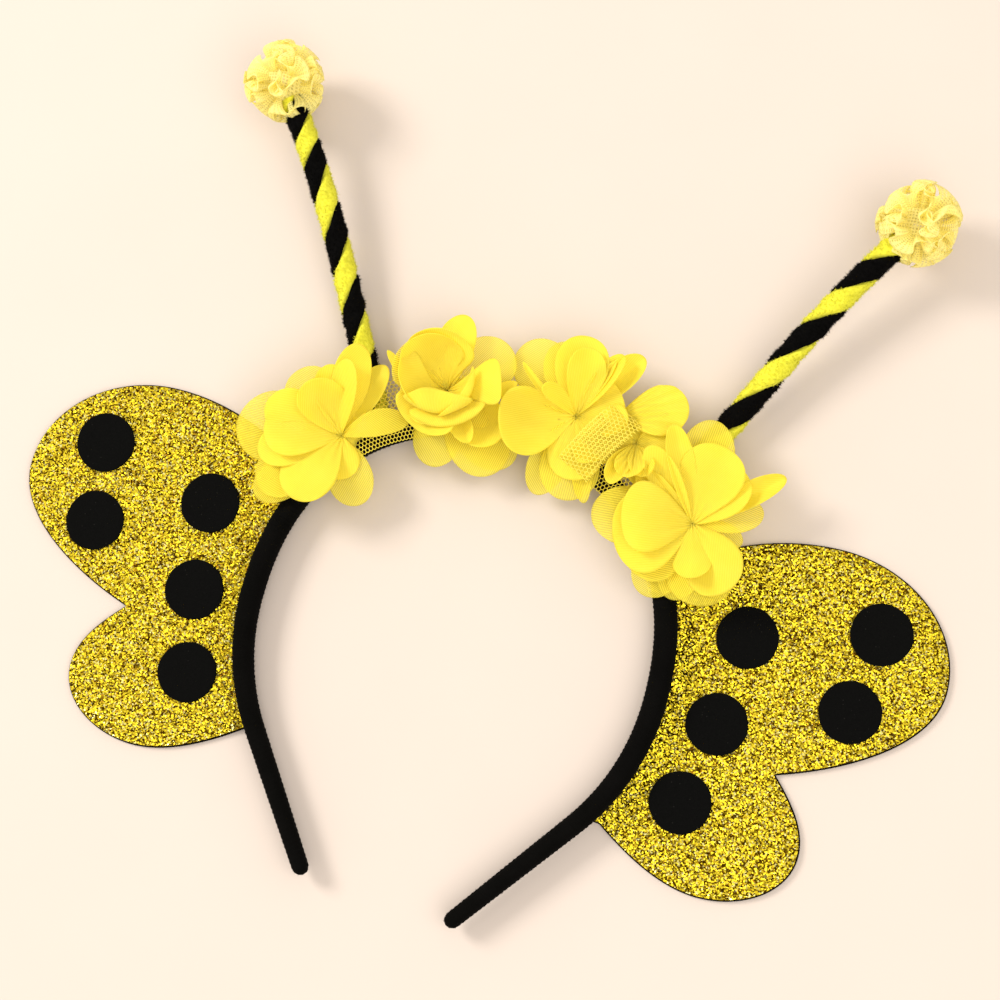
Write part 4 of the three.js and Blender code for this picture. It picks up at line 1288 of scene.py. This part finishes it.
def petal_surface(row, heart, rng):
    """Points of one petal, its cloth coordinates in cm, and its flat area in square mm.

    Two parameters run over a square: s from the root to the tip and t from side to side. Up to the
    widest place the half width follows a sine. Beyond it the square's upper part is bent to a half
    disc, so that the rim is round. The height is the rise times s, plus the arch times sin, plus
    the cup times t to a power near 2, which falls towards 1 for a sharp fold. The distance from the
    heart is the length times s, less the hook times s cubed. Ripples run out along rays and grow
    towards the rim, and tight gathers sit at the root.
    """
    turn, reach, rise, width, arch, cup, more = row
    extra = {**PLAIN_PETAL, **more}
    s, t = np.meshgrid(
        np.linspace(0, 1, PETAL_ROWS) ** 0.9, np.linspace(-1, 1, PETAL_COLUMNS), indexing="ij"
    )
    length = reach * PETAL_LENGTH
    half = width * PETAL_WIDTH / 2
    low = 0.4 + max(rise, 0) * (HEART_HEIGHT - 1)
    climb = rise * PETAL_RISE + HEART_HEIGHT / 2 - low
    swell = PETAL_NARROW + (1 - PETAL_NARROW) * np.sin(np.pi / 2 * np.minimum(s / PETAL_WIDEST, 1))
    beyond = np.clip((s - PETAL_WIDEST) / (1 - PETAL_WIDEST), 0, 1)
    aside = t * swell * np.sqrt(1 - beyond**2 / 2)
    along = np.where(
        s < PETAL_WIDEST, s, PETAL_WIDEST + (1 - PETAL_WIDEST) * beyond * np.sqrt(1 - t**2 / 2)
    )
    out = np.hypot(along, aside * half / length)
    ray = np.arctan2(aside * half, along * length + 1)
    phase = rng.uniform(0, 2 * np.pi, 4)
    ripple = 0.75 * out**2 * np.sin(5 * ray + phase[0]) + 0.4 * out**3 * np.sin(11 * ray + phase[1])
    gather = 0.35 * np.exp(-4 * along) * np.sin(16 * ray + phase[2])
    pleats = extra["pleat"] * np.sin(np.pi * np.minimum(along, 0.8)) * np.sin(34 * ray + phase[2])
    lift = climb * along + PETAL_RISE * arch * np.sin(np.pi * along)
    power = 2 - 0.8 * min(abs(cup), 1)
    lift = lift + cup * half * swell * (np.abs(aside) / np.maximum(swell, 0.2)) ** power
    lift = lift + extra["tilt"] * half * aside + ripple + gather + pleats
    distance = 0.2 + (length - 0.2) * along * (1 - extra["hook"] * along**2)
    bend = extra["wrap"] * aside * half / (0.5 * length)
    sway = 0.6 * np.sin(2.2 * along + phase[3]) * along
    sway = sway + extra["bow"] * length * np.sin(np.pi * along)
    sideways = (1 - extra["wrap"]) * aside * half + sway
    heading = np.radians(turn)
    root = heart + np.array(extra["start"]) + along[..., None] ** 2 * extra["lean"]
    x = root[..., 0] + np.cos(heading - bend) * distance + np.sin(heading) * sideways
    y = root[..., 1] + np.sin(heading - bend) * distance - np.cos(heading) * sideways
    points = np.stack([x, y, HEART_Z + low + lift], -1).reshape(-1, 3)
    weave = rng.uniform(-0.5, 0.5)
    flat_x, flat_y = aside * half / 10, along * np.hypot(length, climb) / 10
    cloth = np.stack([
        flat_x * np.cos(weave) - flat_y * np.sin(weave),
        flat_x * np.sin(weave) + flat_y * np.cos(weave),
    ], -1).reshape(-1, 2)
    area = 2 * half * np.hypot(length, climb) * (PETAL_WIDEST * 0.66 + (1 - PETAL_WIDEST) * 0.785)
    return points, cloth, area


def heart_cone(heart):
    """The gathered middle that the petals are sewn to: a low pleated cone, closed below."""
    turn = np.linspace(0, 2 * np.pi, 40, endpoint=False)
    share = np.linspace(0, 1, 8)[:, None]
    radius = HEART_DIAMETER / 2 * (1 - 0.97 * share**0.6) + 0.25 * (1 - share) * np.sin(10 * turn)
    x = heart[0] + radius * np.cos(turn)
    y = heart[1] + radius * np.sin(turn)
    z = HEART_Z + HEART_RISE * share * np.ones_like(turn)
    return tube(np.stack([x, y, z], -1), (*heart, HEART_Z), (*heart, HEART_Z + HEART_RISE))


def thick_sheet(points, rows, columns, thick):
    """A closed sheet: the surface moved both ways along its normals by half of the thickness.

    A wall of quads runs round its four edges.
    """
    grid = points.reshape(rows, columns, 3)
    normal = np.cross(np.gradient(grid, axis=0), np.gradient(grid, axis=1))
    normal = unit(normal + 1e-9 * UP).reshape(-1, 3)
    both = np.concatenate([points + normal * thick / 2, points - normal * thick / 2])
    quads = grid_faces(rows, columns)
    number = np.arange(rows * columns).reshape(rows, columns)
    rim = np.concatenate([number[0], number[1:, -1], number[-1, -2::-1], number[-2:0:-1, 0]])
    after = np.roll(rim, -1)
    count = rows * columns
    wall = np.stack([rim, after, after + count, rim + count], -1)
    faces = [quads[:, ::-1], quads + count, wall]
    return both, faces


CHIFFON_THICK = 0.22
HEART_OPEN, DOUBLED_OPEN, SINGLE_OPEN = 0.1, 0.15, 1.0
for number, (name, (seat, out, petals)) in enumerate(FLOWERS.items()):
    heart = on_crown(seat, out * TAPE_WIDTH - TAPE_INNER)
    rng = np.random.default_rng(SEEDS["petals"] + number)
    parts, cloths, singles, area = [heart_cone(heart)], [], [], 0.0
    cloths.append(parts[0][0][:, :2] / 10)
    singles.append(np.full(len(parts[0][0]), HEART_OPEN))
    for row in petals:
        points, cloth, petal_area = petal_surface(row, heart, rng)
        parts.append(thick_sheet(points, PETAL_ROWS, PETAL_COLUMNS, CHIFFON_THICK))
        cloths.append(np.tile(cloth, (2, 1)))
        is_single = row[2] < SINGLE_BELOW or "sheer" in row[6]
        singles.append(np.full(2 * len(points), SINGLE_OPEN if is_single else DOUBLED_OPEN))
        area += petal_area
    piece = new_piece(
        f"{name}_chiffon",
        joined(parts),
        chiffon,
        [name],
        values={"single": np.concatenate(singles)},
        cloth=np.concatenate(cloths),
    )

# %% [markdown]
# ## A fold of net over the flowers
#
# Between the third and fourth flower a loose end of the tape is folded over the petals, doubled,
# with its holes out of step. It is made from the same threads as the tape. A path for its middle
# line gives the bend, and the width lies straight across it.

# %% Folded net
FOLD_WIDTH = 13.5
FOLD_THREAD = 0.17
FOLD_ACROSS = np.array([0.88, -0.47, 0])
FOLD_PATH = np.array([
    (38.4, 80.6, 13.4), (38.6, 80.2, 18.5), (36.4, 76.6, 21.6), (31.6, 69.3, 22),
    (27.4, 62.2, 20.4), (25.6, 59.2, 18.2), (26.2, 60.6, 16.9), (30.6, 68.4, 18.8),
    (34.6, 75, 18.6), (36.4, 78, 15.5),
])
fold_line, fold_at = evenly(through(FOLD_PATH, 30), 300)


def on_fold(flat):
    """A place on the flat strip carried along the path, swelling a little across and along."""
    middle = np.stack([np.interp(flat[:, 0], fold_at, fold_line[:, k]) for k in range(3)], -1)
    across = flat[:, 1] - FOLD_WIDTH / 2
    swell = 0.35 * np.sin(flat[:, 0] / 3.3 + across / 2.1) - 0.012 * across**2
    return middle + across[:, None] * FOLD_ACROSS + swell[:, None] * UP


fold_piece, thread_area = net_piece("folded_net", FOLD_WIDTH, fold_at[-1], on_fold, FOLD_THREAD)
print("folded net, mm:", FOLD_WIDTH, "by", fold_at[-1].round(1))

# %% [markdown]
# ## Tulle pompoms
#
# A pompom is one long strip of tulle, gathered along its middle and wound up until its free edges
# make a ball. The strip is a surface of two parameters: u runs along the strip, which climbs from
# pole to pole in a spiral, and v goes from the gathered edge near the middle out to the free edge
# on the ball. The free edge swings from side to side in tight folds, the gathered edge hardly at
# all.

# %% Pompoms
RUFFLE_TURNS = 4
FOLD_PITCH = 6.4
FOLD_SWING = 0.34
FOLD_LEAN = 0.3
RUFFLE_ROOT = 3.6
CORE_RADIUS = 7
TULLE_THICK = 0.2
RUFFLE_COLUMNS, RUFFLE_ROWS = 1300, 12


def ruffle_surface(centre, axis, rng):
    """Points of the wound strip, v by u, its cloth coordinates in cm and its strip length in mm.

    The height on the ball falls from pole to pole, the turn round its axis grows with it, and the
    number of folds grows with the distance gone along the ball. A fold swings the direction to the
    poles by swing times v times sine, and along the strip by a smaller sine of twice the phase.
    Out near the ball's surface the cloth lies over: the radius settles, and the direction leans
    away from the first pole by a random share of v squared.
    """
    u = np.linspace(0.02, 0.98, RUFFLE_COLUMNS)[None, :]
    v = np.linspace(0, 1, RUFFLE_ROWS)[:, None]
    polar = np.pi * u
    azimuth = 2 * np.pi * RUFFLE_TURNS * u
    gone = np.cumsum(np.hypot(np.gradient(polar[0]), np.sin(polar[0]) * np.gradient(azimuth[0])))
    length = gone[-1] * POMPOM_RADIUS
    phase = 2 * np.pi * gone * POMPOM_RADIUS / FOLD_PITCH
    knots = np.linspace(0, gone[-1], int(length / FOLD_PITCH))
    uneven = np.interp(gone, knots, rng.uniform(0.6, 1.3, len(knots)))
    drift = np.interp(gone, knots, rng.uniform(-1.6, 1.6, len(knots)))
    radius_noise = np.interp(gone, knots, rng.uniform(-0.1, 0.03, len(knots)))
    lean = FOLD_LEAN * np.interp(gone, knots, rng.uniform(-0.3, 1.3, len(knots)))
    swing = FOLD_SWING * uneven * v**0.9
    fold = np.sin(phase + drift)
    polar = polar + swing * fold + lean * v**2
    sway = 0.5 * swing * np.sin(2 * (phase + drift)) - 0.3 * v**2 * np.cos(phase / 3)
    azimuth = azimuth - sway / np.maximum(np.sin(np.pi * u), 0.35)
    settled = 1 - (1 - v) ** 1.7
    radius = RUFFLE_ROOT + (POMPOM_RADIUS * (1 + radius_noise) - RUFFLE_ROOT) * settled
    radius = radius - 0.9 * fold * v * (1 - v)
    axis = unit(np.array(axis, float))
    side = unit(np.cross(axis, (0.3, 1.0, 0.2)))
    other = np.cross(axis, side)
    direction = (
        np.cos(polar)[..., None] * axis
        + (np.sin(polar) * np.cos(azimuth))[..., None] * side
        + (np.sin(polar) * np.sin(azimuth))[..., None] * other
    )
    points = centre + radius[..., None] * direction
    steps = np.linalg.norm(np.diff(points, axis=1, prepend=points[:, :1]), axis=-1)
    stretch = np.cumsum(steps.mean(0))
    cloth = np.stack(np.broadcast_arrays(stretch[None, :] / 10, v * (POMPOM_RADIUS / 10)), -1)
    return points.reshape(-1, 3), cloth.reshape(-1, 2), stretch[-1]


def ball(centre, radius, rng):
    """A lumpy little ball in the middle, which the strip is sewn to."""
    polar = np.linspace(0, np.pi, 14)[1:-1, None]
    turn = np.linspace(0, 2 * np.pi, 24, endpoint=False)
    size = radius * (1 + 0.05 * np.sin(3 * turn) * np.sin(2 * polar))
    ring = np.stack([
        size * np.sin(polar) * np.cos(turn),
        size * np.sin(polar) * np.sin(turn),
        size * np.cos(polar),
    ], -1)
    return tube(centre + ring, centre + radius * UP, centre - radius * UP)


POMPOM_AXES = {"left": (0.1, -0.25, 1), "right": (0.15, 0.2, 1)}
for side, row in ANTENNAE.items():
    centre = antenna_axis(row, 200)[0][-1]
    rng = np.random.default_rng(SEEDS["pompoms"] + (side == "right"))
    points, cloth, strip = ruffle_surface(centre, POMPOM_AXES[side], rng)
    sheet_body = thick_sheet(points, RUFFLE_ROWS, RUFFLE_COLUMNS, TULLE_THICK)
    core = ball(centre, CORE_RADIUS, rng)
    piece = new_piece(
        f"{side}_tulle_pompom",
        joined([sheet_body, core]),
        tulle,
        [f"{side}_pompom"],
        cloth=np.concatenate([cloth, cloth, core[0][:, :2] / 10]),
    )
